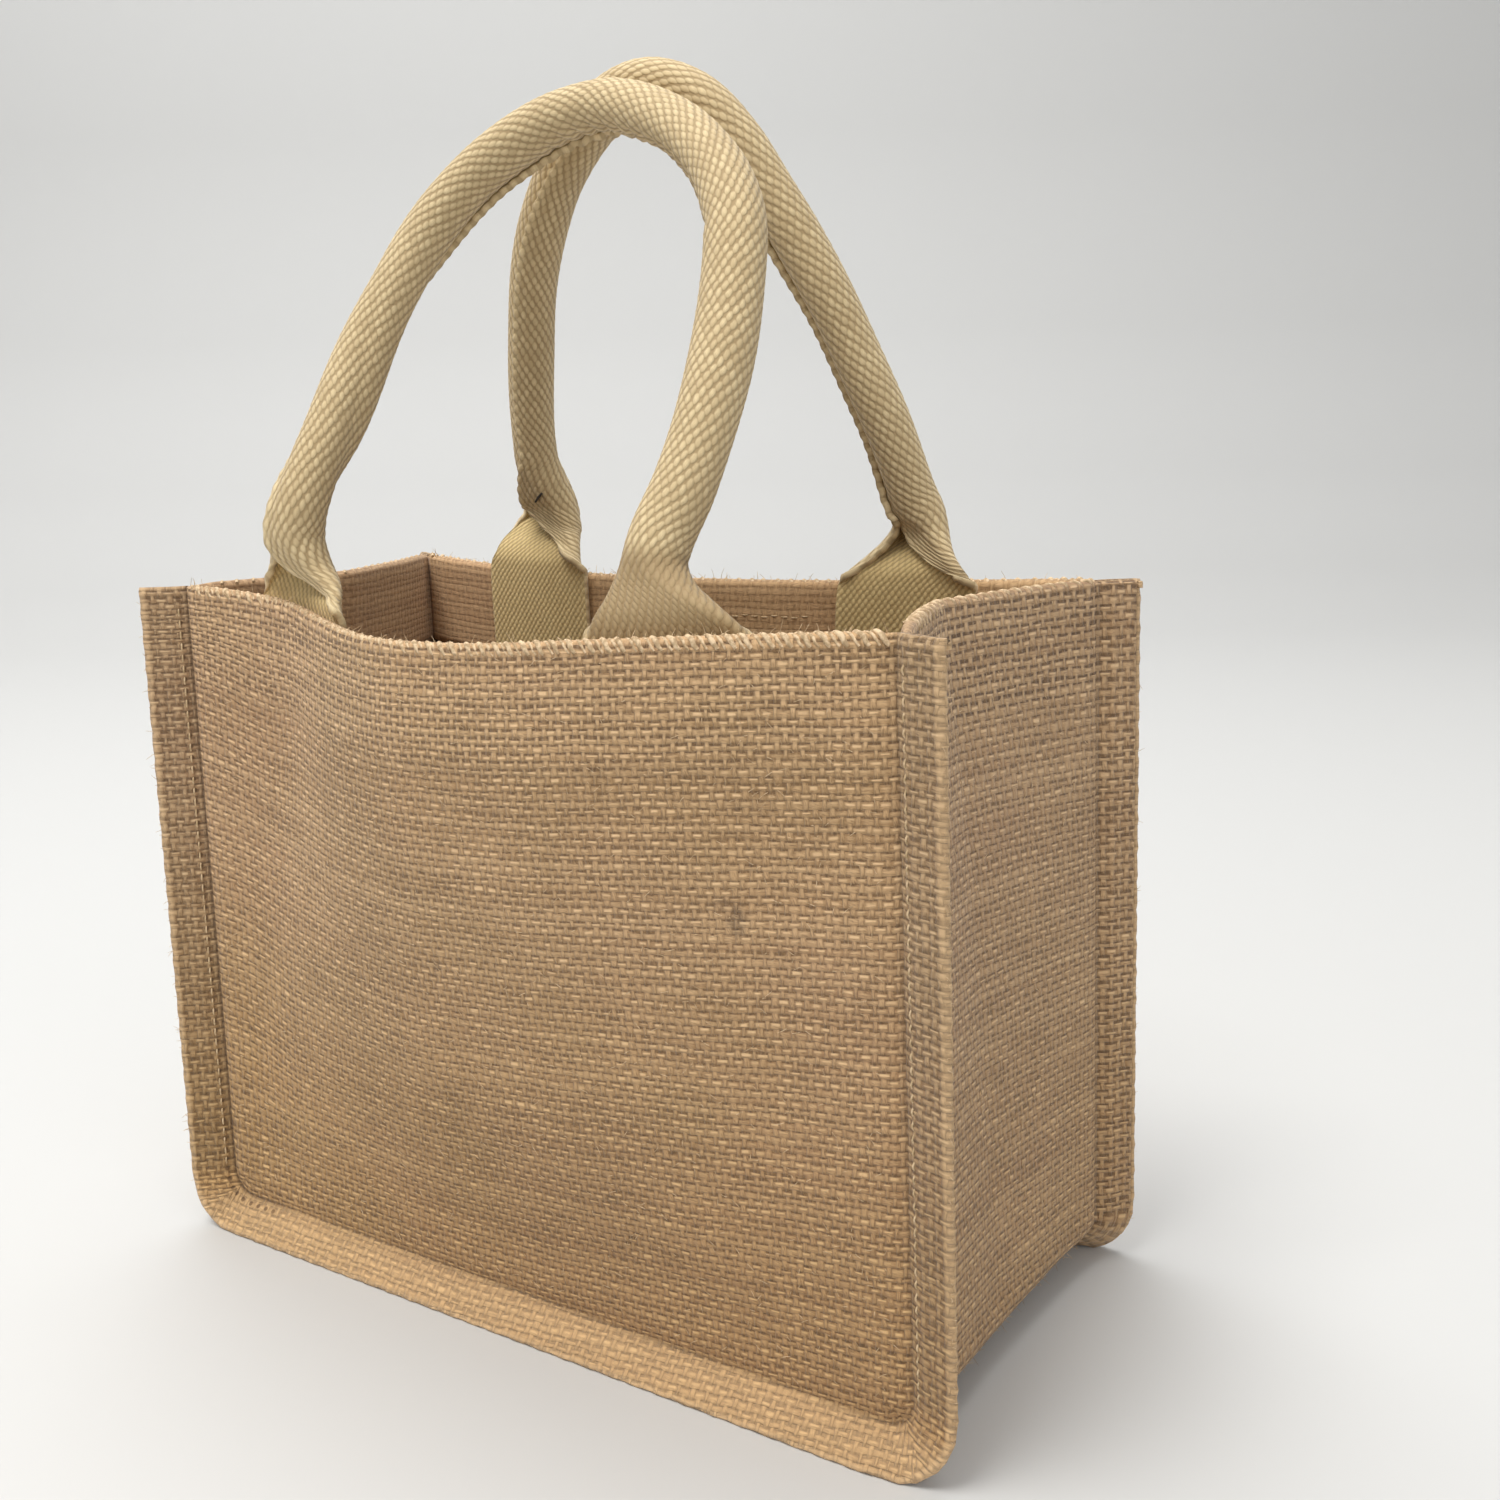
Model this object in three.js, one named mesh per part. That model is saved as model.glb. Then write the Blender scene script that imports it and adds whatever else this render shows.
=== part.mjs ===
// A small boxed tote of jute hessian with two padded cotton webbing handles, standing open and empty.
// Millimetres, +Z up. The front wall faces -Y and its width lies along X. The foot of the bag is at z = 0.
// Three pieces of hessian make the body: a front panel, a back panel, and one gusset strip that runs down
// the left side, under the bag and up the right side. Each seam stands outwards as a doubled flange.
import * as THREE from "three";

// Cloth and seams
const CLOTH = 1.5; // thickness of one layer of laminated hessian
const GAP = 0.45; // air between two layers that lie face to face
const LAYER = CLOTH + GAP; // from the middle of one layer to the middle of the next
const FLANGE = 12; // width of the doubled seam that stands out round each panel
const HEM = 26; // depth of the hem that is folded to the inside at the rim
const HEM_STEP = 0.8; // height over which the wall thickens into its hem
const HEM_INWARD = CLOTH / 2 + LAYER; // from the middle of the outer layer to the hem's inner face

// Body
const RIM = 186; // height of the four corners of the mouth
const SEAM_FOOT = 8.5; // height of the bottom seams, which stand on their splayed flanges
const CORNER_RADIUS = 7; // of the seam line at the two lower corners of a panel
const BOTTOM_SAG = 2; // how far the middle of the bottom hangs under its seams

// Where the four upright seams stand, at the bottom seam and at the rim
const UPRIGHTS = {
  frontLeft: { footX: -111, footY: -50, rimX: -106, rimY: -51 },
  frontRight: { footX: 109, footY: -50, rimX: 108, rimY: -57 },
  backLeft: { footX: -111, footY: 50, rimX: -110, rimY: 47 },
  backRight: { footX: 114, footY: 50, rimX: 111, rimY: 46 },
};

// How far each flange is turned from the plane of its panel, in degrees
const TURN = {
  front: { left: 45, bottom: 45, right: 22 },
  back: { left: 40, bottom: 45, right: 45 },
};

// The front wall bellies out. At each height its left flank rises from `start` to `full`, as shares of
// the width, up to `out` millimetres, and then falls away to the right-hand seam.
const FRONT_BELLY = [
  { height: 0.0, out: 0, start: -0.05, full: 0.4 },
  { height: 0.2, out: 5, start: 0.0, full: 0.42 },
  { height: 0.5, out: 13, start: 0.05, full: 0.45 },
  { height: 0.84, out: 19, start: 0.11, full: 0.46 },
  { height: 1.0, out: 18.5, start: 0.13, full: 0.47 },
];
const FRONT_CREST = 0.5; // share of the width at which the belly starts to fall away

// The rim of the front wall dips where the wall bellies out
const FRONT_DIP = [
  { at: 0.0, drop: 0 },
  { at: 0.1, drop: 1 },
  { at: 0.19, drop: 2.6 },
  { at: 0.285, drop: 5.4 },
  { at: 0.38, drop: 6.8 },
  { at: 0.47, drop: 6.8 },
  { at: 0.57, drop: 6.0 },
  { at: 0.68, drop: 4.2 },
  { at: 0.82, drop: 2.2 },
  { at: 0.94, drop: 0.8 },
  { at: 1.0, drop: 0 },
];

// The back wall leans in a little at its middle
const BACK_LEAN = [
  { height: 0.0, inward: 0 },
  { height: 0.3, inward: 2.5 },
  { height: 0.7, inward: 6 },
  { height: 1.0, inward: 7 },
];
const BACK_DIP = 3.4; // of its rim

// The two sides fold in along an upright crease, deepest at the rim
const SIDE_FOLD = [
  { height: 0.0, left: 2.5, right: 2.5 },
  { height: 0.3, left: 4.5, right: 5 },
  { height: 0.65, left: 9.5, right: 8.5 },
  { height: 1.0, left: 15.5, right: 14.5 },
];
const CREASE_AT = 0.45; // the crease's place, as a share of the depth from the front

// Webbing
const WEB_WIDTH = 38;
const WEB_THICKNESS = 2;
const GRIP_RADIUS = 7.2; // of the rolled and padded grip
const WEB_GAP = 0.5; // between the sewn end of the webbing and the hem
const SEWN = 24; // depth of the sewn end below the rim

// Middle line of each handle from its left end to its right end. `half` and `thick` are half the width
// and half the thickness of the section, and `hug` is how closely it lies against the wall.
const FRONT_HANDLE = [
  { x: -61, y: -50, z: 182.5 - SEWN, half: WEB_WIDTH / 2, thick: WEB_THICKNESS / 2, hug: 1 },
  { x: -61, y: -50, z: 170, half: WEB_WIDTH / 2, thick: WEB_THICKNESS / 2, hug: 1 },
  { x: -61, y: -49, z: 179.5, half: 18.6, thick: WEB_THICKNESS / 2, hug: 1 },
  { x: -61.2, y: -49, z: 185.5, half: 16.6, thick: 1.3, hug: 1 },
  { x: -62.4, y: -49.5, z: 190.5, half: 12, thick: 3, hug: 0.3 },
  { x: -63.4, y: -50, z: 197, half: 7.4, thick: 5, hug: 0 },
  { x: -61.9, y: -50.3, z: 207.3, half: 7.2, thick: 6.8, hug: 0 },
  { x: -57.7, y: -40.3, z: 228.4, half: GRIP_RADIUS, thick: GRIP_RADIUS, hug: 0 },
  { x: -53.9, y: -30.3, z: 249.3, half: GRIP_RADIUS, thick: GRIP_RADIUS, hug: 0 },
  { x: -49.2, y: -23.6, z: 262.8, half: GRIP_RADIUS, thick: GRIP_RADIUS, hug: 0 },
  { x: -41.7, y: -16.4, z: 277.1, half: GRIP_RADIUS, thick: GRIP_RADIUS, hug: 0 },
  { x: -31.8, y: -10.7, z: 288.6, half: GRIP_RADIUS, thick: GRIP_RADIUS, hug: 0 },
  { x: -19.6, y: -7.4, z: 296.1, half: GRIP_RADIUS, thick: GRIP_RADIUS, hug: 0 },
  { x: -7, y: -5.6, z: 300.4, half: GRIP_RADIUS, thick: GRIP_RADIUS, hug: 0 },
  { x: 8, y: -5.4, z: 301.1, half: GRIP_RADIUS, thick: GRIP_RADIUS, hug: 0 },
  { x: 26.5, y: -8.4, z: 294.4, half: GRIP_RADIUS, thick: GRIP_RADIUS, hug: 0 },
  { x: 39.8, y: -12.9, z: 284.6, half: GRIP_RADIUS, thick: GRIP_RADIUS, hug: 0 },
  { x: 47.7, y: -17.8, z: 274.4, half: GRIP_RADIUS, thick: GRIP_RADIUS, hug: 0 },
  { x: 51.4, y: -22.7, z: 264.6, half: GRIP_RADIUS, thick: GRIP_RADIUS, hug: 0 },
  { x: 54, y: -31.4, z: 246.1, half: GRIP_RADIUS, thick: GRIP_RADIUS, hug: 0 },
  { x: 54.4, y: -39.6, z: 229.9, half: GRIP_RADIUS, thick: GRIP_RADIUS, hug: 0 },
  { x: 52.6, y: -46.9, z: 214.6, half: GRIP_RADIUS, thick: 7, hug: 0 },
  { x: 49.4, y: -52.5, z: 203.1, half: 7.1, thick: 6.2, hug: 0 },
  { x: 48.8, y: -56.5, z: 196, half: 7.2, thick: 4.6, hug: 0 },
  { x: 53.5, y: -61, z: 189.5, half: 12.5, thick: 2.8, hug: 0.5 },
  { x: 57.6, y: -64, z: 185.2, half: 17.4, thick: 1.2, hug: 1 },
  { x: 58.6, y: -65, z: 180.5, half: 18.6, thick: WEB_THICKNESS / 2, hug: 1 },
  { x: 59, y: -65, z: 173, half: WEB_WIDTH / 2, thick: WEB_THICKNESS / 2, hug: 1 },
  { x: 59, y: -65, z: 183 - SEWN, half: WEB_WIDTH / 2, thick: WEB_THICKNESS / 2, hug: 1 },
];
const BACK_HANDLE = [
  { x: -58, y: 40, z: 184 - SEWN, half: WEB_WIDTH / 2, thick: WEB_THICKNESS / 2, hug: 1 },
  { x: -58, y: 40, z: 173, half: WEB_WIDTH / 2, thick: WEB_THICKNESS / 2, hug: 1 },
  { x: -58, y: 39, z: 181, half: 18.8, thick: WEB_THICKNESS / 2, hug: 1 },
  { x: -58.6, y: 39, z: 187, half: 16.8, thick: 1.2, hug: 1 },
  { x: -60, y: 41, z: 192, half: 12.5, thick: 3, hug: 0.3 },
  { x: -60.5, y: 43, z: 197.5, half: 8.2, thick: 5, hug: 0 },
  { x: -58.6, y: 41.5, z: 204, half: GRIP_RADIUS, thick: 6.8, hug: 0 },
  { x: -56.8, y: 38, z: 214, half: GRIP_RADIUS, thick: GRIP_RADIUS, hug: 0 },
  { x: -52.4, y: 32.5, z: 232.4, half: GRIP_RADIUS, thick: GRIP_RADIUS, hug: 0 },
  { x: -47.6, y: 27.9, z: 247.8, half: GRIP_RADIUS, thick: GRIP_RADIUS, hug: 0 },
  { x: -41.2, y: 22.4, z: 266.1, half: GRIP_RADIUS, thick: GRIP_RADIUS, hug: 0 },
  { x: -33.8, y: 18.2, z: 280, half: GRIP_RADIUS, thick: GRIP_RADIUS, hug: 0 },
  { x: -24, y: 14.5, z: 292.9, half: GRIP_RADIUS, thick: GRIP_RADIUS, hug: 0 },
  { x: -9, y: 11.4, z: 304.4, half: GRIP_RADIUS, thick: GRIP_RADIUS, hug: 0 },
  { x: 6, y: 10.4, z: 308.4, half: GRIP_RADIUS, thick: GRIP_RADIUS, hug: 0 },
  { x: 19.5, y: 11.6, z: 303.8, half: GRIP_RADIUS, thick: GRIP_RADIUS, hug: 0 },
  { x: 29.4, y: 14.4, z: 293.6, half: GRIP_RADIUS, thick: GRIP_RADIUS, hug: 0 },
  { x: 36.8, y: 17.9, z: 281.1, half: GRIP_RADIUS, thick: GRIP_RADIUS, hug: 0 },
  { x: 43, y: 21.4, z: 269.3, half: GRIP_RADIUS, thick: GRIP_RADIUS, hug: 0 },
  { x: 49.2, y: 25.7, z: 255, half: GRIP_RADIUS, thick: GRIP_RADIUS, hug: 0 },
  { x: 54.6, y: 30.3, z: 239.7, half: GRIP_RADIUS, thick: GRIP_RADIUS, hug: 0 },
  { x: 59.7, y: 35.2, z: 224.3, half: GRIP_RADIUS, thick: GRIP_RADIUS, hug: 0 },
  { x: 64, y: 40.2, z: 207.5, half: GRIP_RADIUS, thick: 6.6, hug: 0 },
  { x: 65, y: 42.4, z: 199.5, half: 7.4, thick: 5, hug: 0 },
  { x: 63.4, y: 41, z: 193, half: 12.5, thick: 3, hug: 0.3 },
  { x: 62.4, y: 40, z: 187.6, half: 16.8, thick: 1.2, hug: 1 },
  { x: 62, y: 40, z: 181, half: 18.8, thick: WEB_THICKNESS / 2, hug: 1 },
  { x: 62, y: 40, z: 173, half: WEB_WIDTH / 2, thick: WEB_THICKNESS / 2, hug: 1 },
  { x: 62, y: 40, z: 185 - SEWN, half: WEB_WIDTH / 2, thick: WEB_THICKNESS / 2, hug: 1 },
];
const GRIP_SIDES = 12; // corners of a handle's section
const GRIP_STEP = 7.5; // most length between two sections of a handle

// How finely the cloth is divided
const PANEL_COLUMNS = 18; // between the rounded corners
const WALL_ROWS = 10; // between the rounded corners and the hem
const HEM_ROWS = 3;
const GUSSET_STRIPS = 10; // across the depth, between the two seams
const SEAM_STRIP = 3.5; // width of the strip beside a seam, where a hem reaches its full thickness

const JUTE = { color: 0xa9895f, roughness: 0.95, metalness: 0 };
const SIDE_JUTE = { color: 0x9c7d5a, roughness: 0.95, metalness: 0 };
const COTTON = { color: 0xc2a877, roughness: 0.9, metalness: 0 };

const PLACE = { x: -1.2, y: 7 }; // moves the bag so that the middle of its box stands over the origin

const { lerp, smoothstep, degToRad } = THREE.MathUtils;

// A smooth value at `at` from a table's column, where `by` names the column that rises from row to row.
function along(rows, by, column, at) {
  const last = rows.length - 1;
  let i = 0;
  while (i < last - 1 && at > rows[i + 1][by]) i++;
  const [a, b] = [rows[i], rows[i + 1]];
  const span = b[by] - a[by];
  const t = THREE.MathUtils.clamp((at - a[by]) / span, 0, 1);
  const before = rows[Math.max(i - 1, 0)];
  const after = rows[Math.min(i + 2, last)];
  const slopeA = (b[column] - before[column]) / (b[by] - before[by]);
  const slopeB = (after[column] - a[column]) / (after[by] - a[by]);
  const t2 = t * t;
  const t3 = t2 * t;
  return (
    (2 * t3 - 3 * t2 + 1) * a[column] +
    (t3 - 2 * t2 + t) * slopeA * span +
    (3 * t2 - 2 * t3) * b[column] +
    (t3 - t2) * slopeB * span
  );
}

// How far the front wall stands out, and how far its rim dips, at a share of its width and height.
function frontBelly(u, v) {
  const row = (column) => along(FRONT_BELLY, "height", column, v);
  const rise = smoothstep(u, row("start"), row("full"));
  const fall = Math.cos((Math.PI / 2) * Math.max(0, (u - FRONT_CREST) / (1 - FRONT_CREST)));
  return row("out") * rise * fall;
}
const frontDip = (u) => along(FRONT_DIP, "at", "drop", u);

function backLean(u, v) {
  return along(BACK_LEAN, "height", "inward", v) * Math.sin(Math.PI * Math.pow(u, 0.85));
}
const backDip = (u) => BACK_DIP * Math.sin(Math.PI * Math.pow(u, 0.8));

// The middle surface of a wall between its two upright seams, at shares u of its width and v of its height.
// `outward` is -1 on the front wall and 1 on the back wall.
function wallPoint(wall, u, v) {
  const height = SEAM_FOOT + (RIM - wall.dip(u) - SEAM_FOOT) * v;
  const seam = (at, axis) => lerp(at["foot" + axis], at["rim" + axis], v);
  const x = lerp(seam(wall.left, "X"), seam(wall.right, "X"), u);
  const y = lerp(seam(wall.left, "Y"), seam(wall.right, "Y"), u) + wall.outward * wall.belly(u, v);
  return new THREE.Vector3(x, y, height);
}

const FRONT = {
  left: UPRIGHTS.frontLeft,
  right: UPRIGHTS.frontRight,
  outward: -1,
  belly: frontBelly,
  dip: frontDip,
  turn: TURN.front,
};
const BACK = {
  left: UPRIGHTS.backLeft,
  right: UPRIGHTS.backRight,
  outward: 1,
  belly: (u, v) => -backLean(u, v),
  dip: backDip,
  turn: TURN.back,
};

// Shares of the width at which the columns stand: two close together in each rounded corner, the rest even.
function columnShares() {
  const width = UPRIGHTS.frontRight.footX - UPRIGHTS.frontLeft.footX;
  const edge = CORNER_RADIUS / width;
  const shares = [0, SEAM_STRIP / width];
  for (let i = 0; i <= PANEL_COLUMNS; i++) shares.push(lerp(edge, 1 - edge, i / PANEL_COLUMNS));
  return [...shares, 1 - SEAM_STRIP / width, 1];
}

// Shares of the height at which the rows lie, with the hem's step between two close rows.
function rowShares() {
  const height = RIM - SEAM_FOOT;
  const edge = CORNER_RADIUS / height;
  const hemFoot = 1 - HEM / height;
  const shares = [0, SEAM_STRIP / height];
  for (let j = 0; j < WALL_ROWS; j++) shares.push(lerp(edge, hemFoot - HEM_STEP / height, j / WALL_ROWS));
  shares.push(hemFoot - HEM_STEP / height);
  for (let j = 0; j <= HEM_ROWS; j++) shares.push(lerp(hemFoot, 1, j / HEM_ROWS));
  return shares;
}
const COLUMNS = columnShares();
const ROWS = rowShares();
const IN_HEM = (v) => v > 1 - (HEM + HEM_STEP / 2) / (RIM - SEAM_FOOT);

// A wall's grid point, with the seam line rounded at the two lower corners: the square of side
// CORNER_RADIUS beside each corner is drawn in to a quarter disc.
function gridPoint(wall, i, j) {
  const p = wallPoint(wall, COLUMNS[i], ROWS[j]);
  const corner = wallPoint(wall, i < COLUMNS.length / 2 ? 0 : 1, 0);
  const way = i < COLUMNS.length / 2 ? 1 : -1;
  const across = 1 - (way * (p.x - corner.x)) / CORNER_RADIUS;
  const up = 1 - (p.z - corner.z) / CORNER_RADIUS;
  if (across > 0 && up > 0) {
    const draw = Math.max(across, up) / Math.hypot(across, up);
    p.x = corner.x + way * CORNER_RADIUS * (1 - across * draw);
    p.z = corner.z + CORNER_RADIUS * (1 - up * draw);
  }
  return p;
}

// The stations of the seam, down the left side, along the bottom and up the right side: the grid point
// there, the outward direction in the plane of the panel, and how far along the turn the corner has gone.
function seamStations() {
  const top = ROWS.length - 1;
  const right = COLUMNS.length - 1;
  const stations = [];
  for (let j = top; j > 0; j--) stations.push({ i: 0, j });
  for (let i = 0; i <= right; i++) stations.push({ i, j: 0 });
  for (let j = 1; j <= top; j++) stations.push({ i: right, j });
  return stations;
}
const STATIONS = seamStations();

// Outward direction of the seam at a station. `low` is 0 on an upright and 1 on the bottom.
function seamFrame(wall, { i, j }) {
  const onLeft = i < COLUMNS.length / 2;
  const p = gridPoint(wall, i, j);
  const corner = wallPoint(wall, onLeft ? 0 : 1, 0);
  const way = onLeft ? 1 : -1;
  const across = Math.max(0, 1 - (way * (p.x - corner.x)) / CORNER_RADIUS);
  const up = Math.max(0, 1 - (p.z - corner.z) / CORNER_RADIUS);
  let n = new THREE.Vector3(0, 0, -1);
  if (j > 0 && up === 0) n.set(-way, 0, 0);
  else if (across > 0) n.set(-way * across, 0, -up).normalize();
  const low = (2 / Math.PI) * Math.atan2(-n.z, Math.abs(n.x));
  const turn = degToRad(lerp(onLeft ? wall.turn.left : wall.turn.right, wall.turn.bottom, low));
  const aside = new THREE.Vector3(0, wall.outward, 0);
  // `run` leads from the seam to the flange's edge; `back` leads from the panel's layer to the gusset's.
  const run = n.clone().multiplyScalar(Math.cos(turn)).addScaledVector(aside, Math.sin(turn));
  const back = n.clone().multiplyScalar(Math.sin(turn)).addScaledVector(aside, -Math.cos(turn));
  return { p, n, run, back, low, left: onLeft };
}

// A closed sheet round a middle surface. points: Vector3 list; quads: four indices each, anticlockwise as
// seen from the near side; near and far: thickness on each side of each point; ground: for a point on
// the flange's edge, the direction along which its two faces slide to the floor, and null elsewhere.
function sheet(points, quads, near, far, ground) {
  const faceNormals = quads.map(([a, b, c, d]) => {
    const ac = points[c].clone().sub(points[a]);
    const bd = points[d].clone().sub(points[b]);
    return ac.cross(bd).normalize();
  });
  const normals = points.map(() => new THREE.Vector3());
  quads.forEach((quad, f) => quad.forEach((k) => normals[k].add(faceNormals[f])));
  normals.forEach((n) => n.normalize());
  const stretch = points.map(() => 1);
  quads.forEach((quad, f) =>
    quad.forEach((k) => {
      stretch[k] = Math.max(stretch[k], 1 / Math.max(0.7, normals[k].dot(faceNormals[f])));
    }),
  );
  const faces = [1, -1].map((way) =>
    points.map((p, k) => {
      const reach = (way > 0 ? near[k] : far[k]) * stretch[k];
      const q = p.clone().addScaledVector(normals[k], way * reach);
      const slide = ground[k];
      if (slide && (slide.onFloor || q.z < 0)) q.addScaledVector(slide.run, -q.z / slide.run.z);
      return q;
    }),
  );
  const triangles = [];
  const count = points.length;
  const edges = new Map();
  quads.forEach(([a, b, c, d]) => {
    triangles.push([a, b, c], [a, c, d]);
    triangles.push([a + count, c + count, b + count], [a + count, d + count, c + count]);
    [[a, b], [b, c], [c, d], [d, a]].forEach(([s, e]) => {
      if (!edges.delete(e + ":" + s)) edges.set(s + ":" + e, [s, e]);
    });
  });
  edges.forEach(([s, e]) => triangles.push([s, s + count, e + count], [s, e + count, e]));
  return solid([...faces[0], ...faces[1]], triangles);
}

function solid(points, triangles) {
  const geometry = new THREE.BufferGeometry();
  geometry.setAttribute("position", new THREE.Float32BufferAttribute(points.flatMap((p) => p.toArray()), 3));
  geometry.setIndex(triangles.flat());
  geometry.computeVertexNormals();
  return geometry;
}

// A panel: its wall grid, and round three sides the flange that is turned out from it.
function panelGeometry(wall) {
  const points = [];
  const quads = [];
  const inward = [];
  const ground = [];
  const index = COLUMNS.map(() => []);
  const add = (p, thick, slide) => {
    inward.push(thick);
    ground.push(slide);
    return points.push(p) - 1;
  };
  COLUMNS.forEach((u, i) =>
    ROWS.forEach((v, j) => {
      const atSeam = i === 0 || i === COLUMNS.length - 1;
      index[i][j] = add(gridPoint(wall, i, j), IN_HEM(v) && !atSeam ? HEM_INWARD : CLOTH / 2, null);
    }),
  );
  const face = (a, b, c, d) => quads.push(wall.outward < 0 ? [a, b, c, d] : [d, c, b, a]);
  for (let i = 0; i + 1 < COLUMNS.length; i++)
    for (let j = 0; j + 1 < ROWS.length; j++)
      face(index[i][j], index[i + 1][j], index[i + 1][j + 1], index[i][j + 1]);
  const strips = STATIONS.map((station) => {
    const { p, run, low } = seamFrame(wall, station);
    const half = add(p.clone().addScaledVector(run, FLANGE / 2), CLOTH / 2, null);
    const slide = run.z < 0 ? { run, onFloor: low === 1 } : null;
    const edge = add(p.clone().addScaledVector(run, FLANGE), CLOTH / 2, slide);
    return [index[station.i][station.j], half, edge];
  });
  for (let k = 0; k + 1 < strips.length; k++)
    for (let s = 0; s < 2; s++) face(strips[k][s], strips[k][s + 1], strips[k + 1][s + 1], strips[k + 1][s]);
  const outward = points.map(() => CLOTH / 2);
  return sheet(points, quads, outward, inward, ground);
}

// How deep the side is folded in at a share t of the depth: a soft tent with its ridge at the crease.
function foldShape(t) {
  const rise = t < CREASE_AT ? t / CREASE_AT : (1 - t) / (1 - CREASE_AT);
  return 0.65 * rise + 0.35 * Math.sin((Math.PI / 2) * rise);
}

// The gusset: at each station of the seam, a line from the front flange's edge across to the back one's.
function gussetGeometry() {
  const lines = STATIONS.map((station) => {
    const front = seamFrame(FRONT, station);
    const back = seamFrame(BACK, station);
    const v = ROWS[station.j];
    const side = along(SIDE_FOLD, "height", front.left ? "left" : "right", v);
    const inwards = lerp(side, -BOTTOM_SAG, front.low);
    const line = [];
    const put = (p, thick, slide) => line.push({ p, thick, slide });
    const flange = (end, share) => {
      const p = end.p.clone().addScaledVector(end.back, LAYER).addScaledVector(end.run, FLANGE * share);
      const slide = share === 1 && end.run.z < 0 ? { run: end.run, onFloor: end.low === 1 } : null;
      put(p, CLOTH / 2, slide);
      return p;
    };
    flange(front, 1);
    flange(front, 0.5);
    const start = flange(front, 0);
    const end = back.p.clone().addScaledVector(back.back, LAYER);
    const edge = SEAM_STRIP / start.distanceTo(end);
    for (let s = 0; s <= GUSSET_STRIPS; s++) {
      const t = lerp(edge, 1 - edge, s / GUSSET_STRIPS);
      const p = start.clone().lerp(end, t).addScaledVector(front.n, -inwards * foldShape(t));
      put(p, IN_HEM(v) ? HEM_INWARD : CLOTH / 2, null);
    }
    flange(back, 0);
    flange(back, 0.5);
    flange(back, 1);
    return line;
  });
  const width = lines[0].length;
  const all = lines.flat();
  const quads = [];
  const last = width - 2;
  for (let k = 0; k + 1 < lines.length; k++)
    for (let s = 0; s + 1 < width; s++) {
      const [a, b, c, d] = [k * width + s, k * width + s + 1, (k + 1) * width + s + 1, (k + 1) * width + s];
      // Each flange is cut along the same diagonals as the panel's, so that the two layers stay parallel.
      quads.push(s < last - 1 ? [b, a, d, c] : [a, d, c, b]);
    }
  // These quads face the inside of the bag, so the hem's thickness goes on the side that they face.
  return sheet(
    all.map((at) => at.p),
    quads,
    all.map((at) => at.thick),
    all.map(() => CLOTH / 2),
    all.map((at) => at.slide),
  );
}

// The height of the wall's hem face at a place in front of it: y of the inner face at x and z.
function hemFace(wall, x, z) {
  let u = (x - wall.left.rimX) / (wall.right.rimX - wall.left.rimX);
  let v = 1;
  for (let pass = 0; pass < 4; pass++) {
    v = Math.min(1, (z - SEAM_FOOT) / (RIM - wall.dip(u) - SEAM_FOOT));
    const left = lerp(wall.left.footX, wall.left.rimX, v);
    u = (x - left) / (lerp(wall.right.footX, wall.right.rimX, v) - left);
  }
  const reach = 0.01;
  const here = wallPoint(wall, u, v);
  const beside = wallPoint(wall, u + reach, v);
  const slope = (beside.y - here.y) / (beside.x - here.x);
  return here.y - wall.outward * HEM_INWARD * Math.hypot(1, slope);
}

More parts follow.
